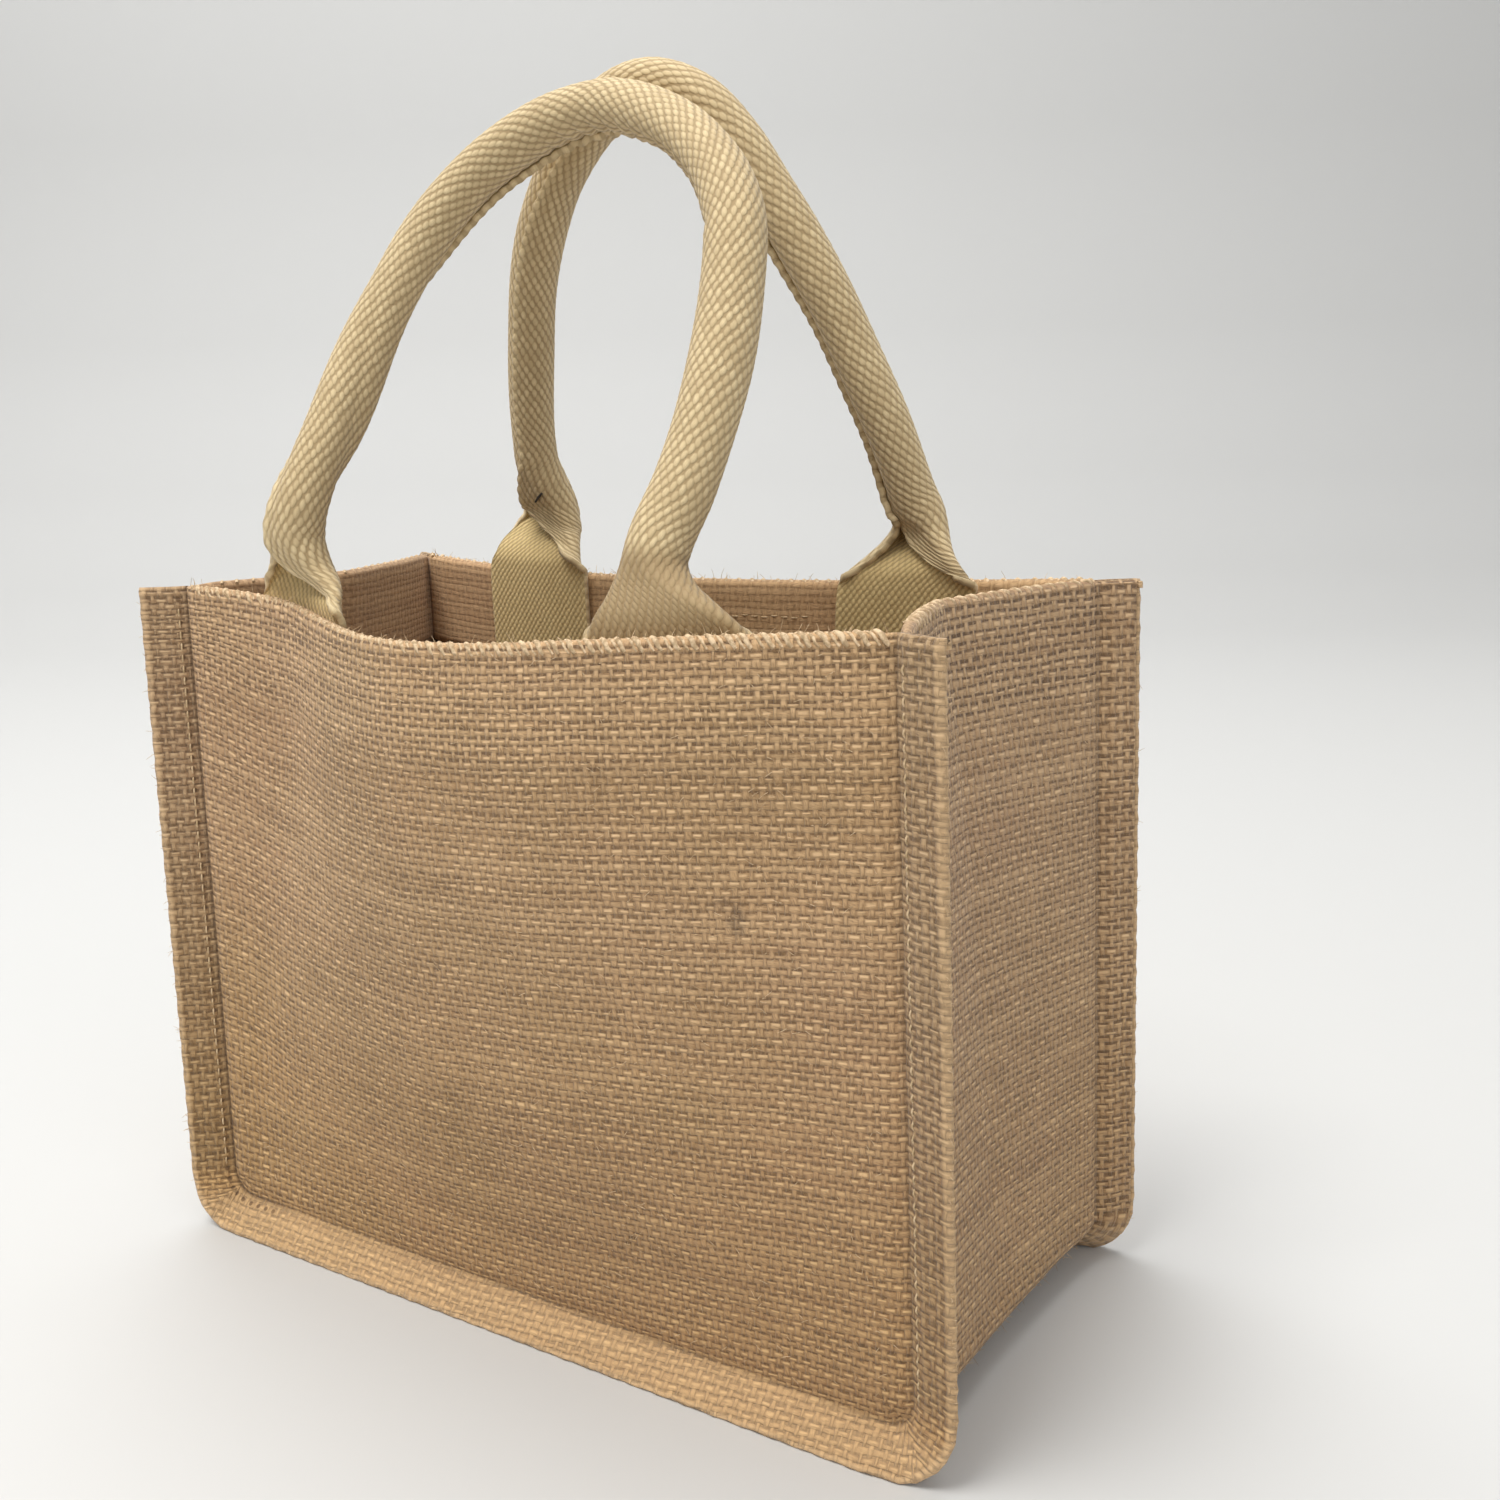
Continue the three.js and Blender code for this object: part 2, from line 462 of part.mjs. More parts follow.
// One handle: a flat strip sewn inside the hem, gathered above the rim into a round padded grip, and the
// same again at its other end.
function handleGeometry(rows, wall) {
  const path = new THREE.CatmullRomCurve3(rows.map((r) => new THREE.Vector3(r.x, r.y, r.z)), false, "centripetal");
  const sections = [];
  rows.slice(1).forEach((row, k) => {
    const from = rows[k];
    const length = Math.hypot(row.x - from.x, row.y - from.y, row.z - from.z);
    const steps = Math.max(1, Math.ceil(length / GRIP_STEP));
    for (let s = k === 0 ? 0 : 1; s <= steps; s++) {
      const share = s / steps;
      const t = (k + share) / (rows.length - 1);
      sections.push({
        t,
        half: lerp(from.half, row.half, share),
        thick: lerp(from.thick, row.thick, share),
        hug: lerp(from.hug, row.hug, share),
      });
    }
  });
  const depth = new THREE.Vector3(0, 1, 0);
  const points = [];
  sections.forEach(({ t, half, thick, hug }) => {
    const middle = path.getPoint(t);
    const ahead = path.getTangent(t);
    const across = ahead.clone().cross(depth).normalize();
    const through = across.clone().cross(ahead).normalize();
    // A flat section has square edges, a round one is a circle.
    const round = THREE.MathUtils.clamp(thick / half, 0, 1);
    const power = lerp(0.25, 1, Math.sqrt(round));
    for (let m = 0; m < GRIP_SIDES; m++) {
      const angle = (2 * Math.PI * m) / GRIP_SIDES;
      const [cos, sin] = [Math.cos(angle), Math.sin(angle)];
      const wide = half * cos;
      const deep = thick * Math.sign(sin) * Math.pow(Math.abs(sin), power);
      const p = middle.clone().addScaledVector(across, wide).addScaledVector(through, deep);
      const laid = hemFace(wall, p.x, p.z) - wall.outward * (WEB_GAP + thick) + deep;
      p.y = lerp(p.y, laid, hug);
      points.push(p);
    }
  });
  const triangles = [];
  const at = (k, m) => k * GRIP_SIDES + (m % GRIP_SIDES);
  const last = sections.length - 1;
  for (let m = 0; m < GRIP_SIDES; m++)
    for (let k = 0; k < last; k++)
      triangles.push([at(k, m), at(k + 1, m), at(k + 1, m + 1)], [at(k, m), at(k + 1, m + 1), at(k, m + 1)]);
  // Each end is closed by rungs from one face of the strip to the other.
  const cap = (k, face) => {
    for (let m = 0; m < GRIP_SIDES / 2; m++) {
      const [a, b, c, d] = [m, m + 1, GRIP_SIDES - m - 1, GRIP_SIDES - m].map((corner) => at(k, corner));
      if (m > 0) face(a, b, d);
      if (m < GRIP_SIDES / 2 - 1) face(b, c, d);
    }
  };
  cap(0, (a, b, c) => triangles.push([a, b, c]));
  cap(last, (a, b, c) => triangles.push([a, c, b]));
  return solid(points, triangles);
}

function piece(name, geometry, look) {
  const mesh = new THREE.Mesh(geometry, new THREE.MeshStandardMaterial(look));
  mesh.name = name;
  return mesh;
}

const bag = new THREE.Group();
bag.name = "tote_bag";
bag.position.set(PLACE.x, PLACE.y, 0);
bag.add(
  piece("front_panel", panelGeometry(FRONT), JUTE),
  piece("back_panel", panelGeometry(BACK), JUTE),
  piece("gusset", gussetGeometry(), SIDE_JUTE),
  piece("handle_front", handleGeometry(FRONT_HANDLE, FRONT), COTTON),
  piece("handle_back", handleGeometry(BACK_HANDLE, BACK), COTTON),
);

export default bag;
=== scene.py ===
# %% [markdown]
# # A small jute tote bag with padded cotton handles
#
# The real bag is three pieces of coarse jute cloth and two lengths of cotton webbing. A front and a back
# panel are sewn to one long strip, the gusset, that runs down one side, under the bag and up the other.
# Every seam is left standing on the outside as a narrow doubled flange. The mouth has a folded hem, and
# the webbing is rolled round a soft cord to make the grips.
#
# The packed model holds those five pieces as plain solids. This script puts finely divided cloth in their
# place, on the same surfaces, and adds what a needle and a loom leave behind.

import math
import random

import bmesh
import bpy
from mathutils import Matrix, Vector


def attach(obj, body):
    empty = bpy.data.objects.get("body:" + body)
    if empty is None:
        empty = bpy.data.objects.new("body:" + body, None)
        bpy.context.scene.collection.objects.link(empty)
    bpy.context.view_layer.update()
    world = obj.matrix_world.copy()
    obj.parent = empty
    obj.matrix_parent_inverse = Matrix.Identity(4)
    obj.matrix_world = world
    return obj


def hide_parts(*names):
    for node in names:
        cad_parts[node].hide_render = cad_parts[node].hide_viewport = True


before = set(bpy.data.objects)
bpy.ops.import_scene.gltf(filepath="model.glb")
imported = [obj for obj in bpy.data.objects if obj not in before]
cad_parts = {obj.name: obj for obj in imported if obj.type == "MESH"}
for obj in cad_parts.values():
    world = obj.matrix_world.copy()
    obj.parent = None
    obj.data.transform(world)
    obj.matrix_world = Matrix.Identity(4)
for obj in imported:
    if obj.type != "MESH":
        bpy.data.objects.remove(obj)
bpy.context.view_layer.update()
print("solids", sorted(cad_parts))

# %% [markdown]
# ## Sizes
#
# Lengths are in millimetres, as a maker would measure them, and one factor turns them into metres at the
# end. The cloth is drawn about a point under the middle of the bag and moved by PLACE, which is how the
# solids are placed too.

# %% Driving sizes
MM = 0.001
PLACE = Vector((-1.2, 7.0, 0.0))

CLOTH = 1.5
GAP = 0.45
LAYER = CLOTH + GAP
FLANGE = 12.0
HEM = 26.0
RIM = 186.0
SEAM_FOOT = 8.5
CORNER_RADIUS = 7.0
BOTTOM_SAG = 2.0
CREASE_AT = 0.45

WARP_PITCH = 2.0
WEFT_PITCH = 1.9
UPRIGHTS = {
    "front_left": {"foot": (-111, -50), "rim": (-106, -51)},
    "front_right": {"foot": (109, -50), "rim": (108, -57)},
    "back_left": {"foot": (-111, 50), "rim": (-110, 47)},
    "back_right": {"foot": (114, 50), "rim": (111, 46)},
}
PANEL_WARPS = round((UPRIGHTS["front_right"]["foot"][0] - UPRIGHTS["front_left"]["foot"][0]) / WARP_PITCH)
PANEL_WEFTS = round((RIM - SEAM_FOOT) / WEFT_PITCH)
print("yarns in a panel:", PANEL_WARPS, "upright,", PANEL_WEFTS, "across")

# %% [markdown]
# ## The shape in which the bag stands
#
# An empty cloth bag is never a box. The front wall bulges forwards near the rim, the back wall leans in,
# and the two sides are folded inwards along a crease. Each of these is a short table with one row for
# each height, and a smooth curve is drawn through its rows.

# %% Tables of the standing shape
FRONT_BELLY = [
    {"height": 0.0, "out": 0, "start": -0.05, "full": 0.4},
    {"height": 0.2, "out": 5, "start": 0.0, "full": 0.42},
    {"height": 0.5, "out": 13, "start": 0.05, "full": 0.45},
    {"height": 0.84, "out": 19, "start": 0.11, "full": 0.46},
    {"height": 1.0, "out": 18.5, "start": 0.13, "full": 0.47},
]
FRONT_CREST = 0.5
FRONT_DIP = [
    {"at": 0.0, "drop": 0},
    {"at": 0.1, "drop": 1},
    {"at": 0.19, "drop": 2.6},
    {"at": 0.285, "drop": 5.4},
    {"at": 0.38, "drop": 6.8},
    {"at": 0.47, "drop": 6.8},
    {"at": 0.57, "drop": 6.0},
    {"at": 0.68, "drop": 4.2},
    {"at": 0.82, "drop": 2.2},
    {"at": 0.94, "drop": 0.8},
    {"at": 1.0, "drop": 0},
]
BACK_LEAN = [
    {"height": 0.0, "inward": 0},
    {"height": 0.3, "inward": 2.5},
    {"height": 0.7, "inward": 6},
    {"height": 1.0, "inward": 7},
]
BACK_DIP = 3.4
SIDE_FOLD = [
    {"height": 0.0, "left": 2.5, "right": 2.5},
    {"height": 0.3, "left": 4.5, "right": 5},
    {"height": 0.65, "left": 9.5, "right": 8.5},
    {"height": 1.0, "left": 15.5, "right": 14.5},
]


def along(rows, by, column, at):
    """A smooth value at `at` from a column of a table whose column `by` rises from row to row."""
    last = len(rows) - 1
    i = 0
    while i < last - 1 and at > rows[i + 1][by]:
        i += 1
    a, b = rows[i], rows[i + 1]
    before, after = rows[max(i - 1, 0)], rows[min(i + 2, last)]
    span = b[by] - a[by]
    t = min(1.0, max(0.0, (at - a[by]) / span))
    slope_a = (b[column] - before[column]) / (b[by] - before[by])
    slope_b = (after[column] - a[column]) / (after[by] - a[by])
    t2, t3 = t * t, t * t * t
    return (
        (2 * t3 - 3 * t2 + 1) * a[column]
        + (t3 - 2 * t2 + t) * slope_a * span
        + (3 * t2 - 2 * t3) * b[column]
        + (t3 - t2) * slope_b * span
    )


def smooth(at, low, high):
    t = min(1.0, max(0.0, (at - low) / (high - low)))
    return t * t * (3 - 2 * t)


def mix(a, b, t):
    return a + (b - a) * t


print("the front wall stands out by", along(FRONT_BELLY, "height", "out", 1.0), "mm at the rim")

# %% [markdown]
# A wall is a surface over two shares: u runs from its left seam to its right seam, and v from the bottom
# seam to the rim. The walls differ only in their seams, their bulge and which way they face.


# %% The two walls
def front_belly(u, v):
    rise = smooth(u, along(FRONT_BELLY, "height", "start", v), along(FRONT_BELLY, "height", "full", v))
    fall = math.cos(math.pi / 2 * max(0.0, (u - FRONT_CREST) / (1 - FRONT_CREST)))
    return along(FRONT_BELLY, "height", "out", v) * rise * fall


def front_dip(u):
    return along(FRONT_DIP, "at", "drop", u)


def back_belly(u, v):
    return -along(BACK_LEAN, "height", "inward", v) * math.sin(math.pi * max(u, 0.0) ** 0.85)


def back_dip(u):
    return BACK_DIP * math.sin(math.pi * max(u, 0.0) ** 0.8)


class Wall:
    def __init__(self, side, outward, belly, dip, turn):
        self.left = UPRIGHTS[side + "_left"]
        self.right = UPRIGHTS[side + "_right"]
        self.outward = outward
        self.belly = belly
        self.dip = dip
        self.turn = turn

    def height(self, u, v):
        return SEAM_FOOT + (RIM - self.dip(u) - SEAM_FOOT) * v

    def point(self, u, v):
        """The middle surface of the cloth, with the wall's square lower corners."""
        left = [mix(self.left["foot"][k], self.left["rim"][k], v) for k in (0, 1)]
        right = [mix(self.right["foot"][k], self.right["rim"][k], v) for k in (0, 1)]
        y = mix(left[1], right[1], u) + self.outward * self.belly(u, v)
        return Vector((mix(left[0], right[0], u), y, self.height(u, v)))

    def corner(self, u, p):
        """How far p has come into the rounded corner on its side, across and upwards, each 0 to 1."""
        at = self.point(0.0 if u < 0.5 else 1.0, 0.0)
        way = 1 if u < 0.5 else -1
        return at, way, 1 - way * (p.x - at.x) / CORNER_RADIUS, 1 - (p.z - at.z) / CORNER_RADIUS

    def rounded(self, u, v):
        """The same surface with the seam line rounded at the two lower corners."""
        p = self.point(u, v)
        at, way, across, up = self.corner(u, p)
        if across > 0 and up > 0:
            draw = max(across, up) / math.hypot(across, up)
            p.x = at.x + way * CORNER_RADIUS * (1 - across * draw)
            p.z = at.z + CORNER_RADIUS * (1 - up * draw)
        return p

    def normal(self, u, v):
        """Unit vector square to the cloth, out of the bag."""
        step = 0.004
        du = self.point(u + step, v) - self.point(u - step, v)
        dv = self.point(u, min(v + step, 1)) - self.point(u, min(v + step, 1) - 2 * step)
        n = du.cross(dv).normalized()
        return n if n.y * self.outward > 0 else -n

    def seam(self, u, v):
        """At a point of the seam: its place, the way out in the plane of the wall, the way along the
        turned flange, the way from the panel's layer to the gusset's, and 1 on the bottom, 0 on a side."""
        p = self.rounded(u, v)
        at, way, across, up = self.corner(u, p)
        out = Vector((0, 0, -1))
        if up <= 0:
            out = Vector((-way, 0, 0))
        elif across > 0:
            out = Vector((-way * across, 0, -up)).normalized()
        low = 2 / math.pi * math.atan2(-out.z, abs(out.x))
        turn = math.radians(mix(self.turn[0 if u < 0.5 else 2], self.turn[1], low))
        aside = Vector((0, self.outward, 0))
        run = out * math.cos(turn) + aside * math.sin(turn)
        back = out * math.sin(turn) - aside * math.cos(turn)
        return p, out, run, back, low


FRONT = Wall("front", -1, front_belly, front_dip, (45, 45, 22))
BACK = Wall("back", 1, back_belly, back_dip, (40, 45, 45))
print("front rim at its middle:", [round(x, 1) for x in FRONT.point(0.5, 1)])

# %% [markdown]
# ## Camera, floor and light
#
# The camera stands to the right of the bag and a little above its rim. Its place and its three turns come
# from the perspective of the bag's own edges. A pale floor and wide soft lamps keep the cloth readable.

# %% Camera
CAMERA_AT = Vector((236.55, -319.16, 227.95))
CAMERA_YAW, CAMERA_PITCH, CAMERA_ROLL = 31.79, -12.31, 1.20
LENS, SENSOR = 36.48, 36.0

turned = (
    Matrix.Rotation(math.radians(CAMERA_YAW), 3, "Z")
    @ Matrix.Rotation(math.radians(CAMERA_PITCH), 3, "X")
    @ Matrix.Rotation(math.radians(CAMERA_ROLL), 3, "Y")
)
right, ahead, up = (turned.col[k] for k in range(3))
facing = Matrix((right, up, -ahead)).transposed()
camera = bpy.data.objects.new("camera", bpy.data.cameras.new("camera"))
camera.data.lens = LENS
camera.data.sensor_width = SENSOR
camera.data.clip_start = 0.01
camera.matrix_world = Matrix.Translation((CAMERA_AT + PLACE) * MM) @ facing.to_4x4()
bpy.context.scene.collection.objects.link(camera)
bpy.context.scene.camera = camera
print("camera at", [round(x, 3) for x in camera.location])


# %% Floor and lamps
def lamp(name, at, towards, size, power, tint=(1, 1, 1)):
    light = bpy.data.lights.new(name, "AREA")
    light.shape = "DISK"
    light.size = size
    light.energy = power
    light.color = tint
    made = bpy.data.objects.new(name, light)
    made.location = at
    made.rotation_euler = (Vector(towards) - Vector(at)).to_track_quat("-Z", "Y").to_euler()
    bpy.context.scene.collection.objects.link(made)


# The backdrop's profile behind the bag, as distance and height in metres.
BACKDROP_RISE = [(1.2, 0.0), (1.5, 0.03), (1.75, 0.14), (1.93, 0.35), (2.0, 0.65), (2.0, 3.0)]


def pale_floor():
    """A wide floor that rises far behind into a backdrop, so that no horizon line shows."""
    bm = bmesh.new()
    first = [bm.verts.new((x, -3.0, 0.0)) for x in (-5.0, 5.0)]
    edge = [bm.edges.new(first)]
    for y, z in BACKDROP_RISE:
        grown = bmesh.ops.extrude_edge_only(bm, edges=edge)["geom"]
        for v in (g for g in grown if isinstance(g, bmesh.types.BMVert)):
            v.co.y, v.co.z = y, z
        edge = [g for g in grown if isinstance(g, bmesh.types.BMEdge)]
    bmesh.ops.recalc_face_normals(bm, faces=bm.faces[:])
    bmesh.ops.rotate(bm, matrix=Matrix.Rotation(math.radians(CAMERA_YAW), 3, "Z"), verts=bm.verts[:])
    mesh = bpy.data.meshes.new("floor")
    bm.to_mesh(mesh)
    bm.free()
    for polygon in mesh.polygons:
        polygon.use_smooth = True
    floor = bpy.data.objects.new("floor", mesh)
    bpy.context.scene.collection.objects.link(floor)
    paint = bpy.data.materials.new("pale_floor")
    paint.use_nodes = True
    shader = paint.node_tree.nodes["Principled BSDF"]
    shader.inputs["Base Color"].default_value = (0.60, 0.60, 0.59, 1)
    shader.inputs["Roughness"].default_value = 0.7
    mesh.materials.append(paint)


pale_floor()
lamp("key", (-0.25, -0.72, 1.9), (0, 0, 0.12), 0.9, 24, (1.0, 0.985, 0.955))
lamp("room", (1.5, -0.8, 0.9), (0, 0, 0.12), 1.5, 5.5, (0.97, 0.985, 1.0))
lamp("ceiling", (-0.2, 0.25, 2.0), (0, 0, 0.1), 1.5, 18)
lamp("backdrop", (-1.6, 1.0, 2.2), (-1.7, 1.4, 0.4), 2.0, 20)
world = bpy.data.worlds.new("room")
world.use_nodes = True
world.node_tree.nodes["Background"].inputs["Color"].default_value = (0.90, 0.90, 0.90, 1)
world.node_tree.nodes["Background"].inputs["Strength"].default_value = 0.55
bpy.context.scene.world = world
bpy.context.scene.view_settings.view_transform = "Standard"

# %% [markdown]
# ## Drawing a material
#
# Woven cloth is arithmetic: which yarn a point lies on, how far it is from that yarn's middle, and which
# of the two yarns passes on top. A small helper adds one arithmetic node at a time and keeps the node
# trees short to read.


# %% A helper for node trees
class Tree:
    def __init__(self, tree):
        self.tree = tree

    def node(self, kind, **settings):
        made = self.tree.nodes.new(kind)
        for name, value in settings.items():
            setattr(made, name, value)
        return made

    def put(self, socket, value):
        if isinstance(value, bpy.types.NodeSocket):
            self.tree.links.new(value, socket)
        else:
            socket.default_value = value

    def math(self, operation, *values, clamp=False):
        made = self.node("ShaderNodeMath", operation=operation, use_clamp=clamp)
        for socket, value in zip(made.inputs, values):
            self.put(socket, value)
        return made.outputs[0]

    def plus(self, a, b):
        return self.math("ADD", a, b)

    def minus(self, a, b, clamp=False):
        return self.math("SUBTRACT", a, b, clamp=clamp)

    def times(self, a, b):
        return self.math("MULTIPLY", a, b)

    def divide(self, a, b):
        return self.math("DIVIDE", a, b)

    def vector(self, x=0.0, y=0.0, z=0.0):
        made = self.node("ShaderNodeCombineXYZ")
        for socket, value in zip(made.inputs, (x, y, z)):
            self.put(socket, value)
        return made.outputs[0]

    def split(self, vector):
        made = self.node("ShaderNodeSeparateXYZ")
        self.put(made.inputs[0], vector)
        return made.outputs[0], made.outputs[1]

    def noise(self, vector, scale, detail=2.0, roughness=0.5):
        made = self.node("ShaderNodeTexNoise")
        self.put(made.inputs["Vector"], vector)
        self.put(made.inputs["Scale"], scale)
        self.put(made.inputs["Detail"], detail)
        self.put(made.inputs["Roughness"], roughness)
        return made.outputs["Fac"]

    def chance(self, vector):
        """A value from 0 to 1 that is the same wherever the vector is the same."""
        made = self.node("ShaderNodeTexWhiteNoise", noise_dimensions="2D")
        self.put(made.inputs["Vector"], vector)
        return made.outputs["Value"]

    def blend(self, share, low, high):
        made = self.node("ShaderNodeMix", data_type="RGBA")
        self.put(made.inputs["Factor"], share)
        self.put(made.inputs[6], low)
        self.put(made.inputs[7], high)
        return made.outputs[2]

    def tint(self, share, colour, by):
        """The colour multiplied by another, as far as share says."""
        made = self.node("ShaderNodeMix", data_type="RGBA", blend_type="MULTIPLY")
        for k, value in ((0, share), (6, colour), (7, by)):
            self.put(made.inputs[k], value)
        return made.outputs[2]

    def between(self, value, low, high, to_low=0.0, to_high=1.0, smoothly=True):
        kind = "SMOOTHSTEP" if smoothly else "LINEAR"
        made = self.node("ShaderNodeMapRange", interpolation_type=kind)
        for name, number in zip(
            ("Value", "From Min", "From Max", "To Min", "To Max"), (value, low, high, to_low, to_high)
        ):
            self.put(made.inputs[name], number)
        return made.outputs[0]


def new_group(name, inputs, outputs):
    """A node group with its sockets. An input is a name and a default, and an output a name and a kind.
    A default of None makes a vector input, and a tuple makes a colour."""
    group = bpy.data.node_groups.new(name, "ShaderNodeTree")
    for socket, default in inputs:
        kind = "NodeSocketVector" if default is None else "NodeSocketFloat"
        kind = "NodeSocketColor" if isinstance(default, tuple) else kind
        made = group.interface.new_socket(socket, in_out="INPUT", socket_type=kind)
        if default is not None:
            made.default_value = default
    for socket, kind in outputs:
        group.interface.new_socket(socket, in_out="OUTPUT", socket_type="NodeSocket" + kind)
    tree = Tree(group)
    start = group.nodes.new("NodeGroupInput")
    end = group.nodes.new("NodeGroupOutput")
    return group, tree, start.outputs, end.inputs


print("a material is drawn with", sum(callable(way) for way in vars(Tree).values()), "short helpers")

# %% [markdown]
# ## Plain weave
#
# Jute cloth is the simplest weave there is: every upright yarn, the warp, passes over one crosswise yarn
# and under the next. The cloth's own map counts yarns, so a whole number is the edge between two yarns.
# Each yarn has a round top, rises where it passes over and sinks where it passes under. The higher of the
# two is what shows, and where neither reaches there is a small hole. Just above each crosswise float the
# upright yarn dives under it, and the pit there is painted dark as shade, which is the pattern that the eye
# sees first.


# %% The plain weave group
def plain_weave():
    group, t, given, out = new_group(
        "plain_weave",
        [("Yarns", None), ("Warp Width", 0.33), ("Weft Width", 0.42), ("Swing", 0.5), ("Wander", 0.25)],
        [(name, "Float") for name in ("Height", "Hole", "Pit", "Slot", "Tick", "Crest", "Lot", "Streak")],
    )
    across, upward = t.split(given["Yarns"])
    # Each yarn drifts a little from its place, slowly along its own length.
    drift_across = t.noise(t.vector(t.times(across, 0.9), t.times(upward, 0.16)), 1.0)
    drift_upward = t.noise(t.vector(t.times(across, 0.13), t.times(upward, 0.9), 7.0), 1.0)
    drifts = []
    for place, drift in ((across, drift_across), (upward, drift_upward)):
        shift = t.times(t.minus(drift, 0.5), t.times(given["Wander"], 4.0))
        drifts.append(t.plus(place, shift))
    x, y = drifts
    warp_number, weft_number = t.math("FLOOR", x), t.math("FLOOR", y)
    from_warp = t.minus(t.math("FRACT", x), 0.5)
    from_weft = t.minus(t.math("FRACT", y), 0.5)
    parity = t.math("FLOORED_MODULO", t.plus(warp_number, weft_number), 2.0)
    warp_over = t.minus(1.0, t.times(parity, 2.0))
    weft_over = t.times(warp_over, -1.0)
    weft_lot = t.chance(t.vector(weft_number, 11.5))
    # A slub makes a yarn thicker for a stretch.
    slub_warp = t.noise(t.vector(t.times(warp_number, 7.3), t.times(y, 0.11)), 1.0, 1.0)
    slub_weft = t.noise(t.vector(t.times(x, 0.11), t.times(weft_number, 7.3)), 1.0, 1.0)

    def yarn(from_middle, width, slub, other, over):
        """Height of a yarn's top, far below zero outside its edges, and how it rises and sinks."""
        wide = t.times(width, t.between(slub, 0.3, 0.7, 0.72, 1.26, False))
        share = t.divide(from_middle, wide)
        inside = t.minus(1.0, t.times(share, share), clamp=True)
        crown = t.math("POWER", inside, 0.5)
        wave = t.times(t.math("COSINE", t.times(other, math.pi)), over)
        top = t.plus(crown, t.times(wave, given["Swing"]))
        present = t.between(inside, 0.0, 0.12, -2.0, 0.0)
        return t.plus(top, present), wave

    warp_top, _ = yarn(from_warp, given["Warp Width"], slub_warp, from_weft, warp_over)
    weft_top, weft_wave = yarn(from_weft, given["Weft Width"], slub_weft, from_warp, weft_over)
    top = t.math("MAXIMUM", warp_top, weft_top)
    weft_shows = t.math("GREATER_THAN", weft_top, warp_top)
    # The upper shoulder of a crosswise float is painted pale as a highlight from light above, on some
    # floats much more than on others.
    float_lot = t.chance(t.vector(t.plus(warp_number, 0.5), weft_number))
    shoulder = t.divide(t.minus(from_weft, 0.12), 0.17)
    shoulder = t.minus(1.0, t.times(shoulder, shoulder), clamp=True)
    crest = t.times(shoulder, t.between(weft_wave, -0.35, 0.45))
    crest = t.times(crest, t.times(weft_shows, t.between(float_lot, 0.0, 1.0, 0.12, 1.0)))
    # The pit lies on the line between the two crosswise yarns, where the upper one is under. It is painted
    # dark as shade.
    to_pit = t.plus(0.5, t.times(from_weft, warp_over))
    pit_lot = t.chance(t.vector(warp_number, t.math("FLOOR", t.plus(y, 0.5))))
    pit_across, pit_up = t.divide(from_warp, 0.36), t.divide(to_pit, 0.27)
    pit = t.plus(t.times(pit_across, pit_across), t.times(pit_up, pit_up))
    pit = t.minus(1.0, pit, clamp=True)
    pit = t.times(pit, t.between(pit_lot, 0.0, 1.0, 0.35, 1.0, False))
    # In an open cloth the whole line between two rows is a slot painted dark as shade. It is broken where
    # an upright yarn comes out from under the upper row, because that stretch of it faces the light, and
    # there a tick is painted pale as a highlight.
    line = t.math("FLOOR", t.plus(y, 0.5))
    off_line = t.minus(0.5, t.math("ABSOLUTE", from_weft))
    pair = t.times(t.plus(t.plus(x, line), 1.5), 0.5)
    off_tick = t.math("ABSOLUTE", t.minus(t.math("FRACT", pair), 0.5))
    tick = t.between(off_tick, 0.07, 0.15, 1.0, 0.0)
    slot_lot = t.chance(t.vector(t.math("FLOOR", pair), t.plus(line, 31.0)))
    slot = t.between(off_line, 0.13, 0.27, 1.0, 0.0)
    near_line = t.between(off_line, 0.2, 0.4, 1.0, 0.0)
    slot = t.times(slot, t.between(slot_lot, 0.0, 1.0, 0.45, 1.0, False))
    t.put(out["Slot"], t.times(slot, t.minus(1.0, tick)))
    t.put(out["Tick"], t.times(near_line, tick))
    # Jute is a bundle of long dull fibres, laid at a slant by the twist.
    slant_weft = t.plus(t.times(x, 1.3), t.times(y, 9.0))
    slant_warp = t.plus(t.times(y, 1.3), t.times(x, 9.0))
    streak_weft = t.noise(t.vector(slant_weft, t.times(x, 1.1)), 1.0, 3.0)
    streak_warp = t.noise(t.vector(slant_warp, t.times(y, 1.1), 5.0), 1.0, 3.0)
    choose = t.node("ShaderNodeMix", data_type="FLOAT")
    t.put(choose.inputs[0], weft_shows)
    t.put(choose.inputs[2], streak_warp)
    t.put(choose.inputs[3], streak_weft)
    t.put(out["Height"], t.math("MAXIMUM", top, -0.5))
    t.put(out["Hole"], t.between(top, -0.3, 0.3, 1.0, 0.0))
    t.put(out["Pit"], pit)
    t.put(out["Crest"], crest)
    t.put(out["Lot"], weft_lot)
    t.put(out["Streak"], choose.outputs[0])
    return group


WEAVE = plain_weave()
print("weave group holds", len(WEAVE.nodes), "nodes")


# %% [markdown]
# ## Stains
#
# A real bag has been handled and set down. A soft spot is an oval of the cloth with a ragged edge, at a
# place given in yarns.


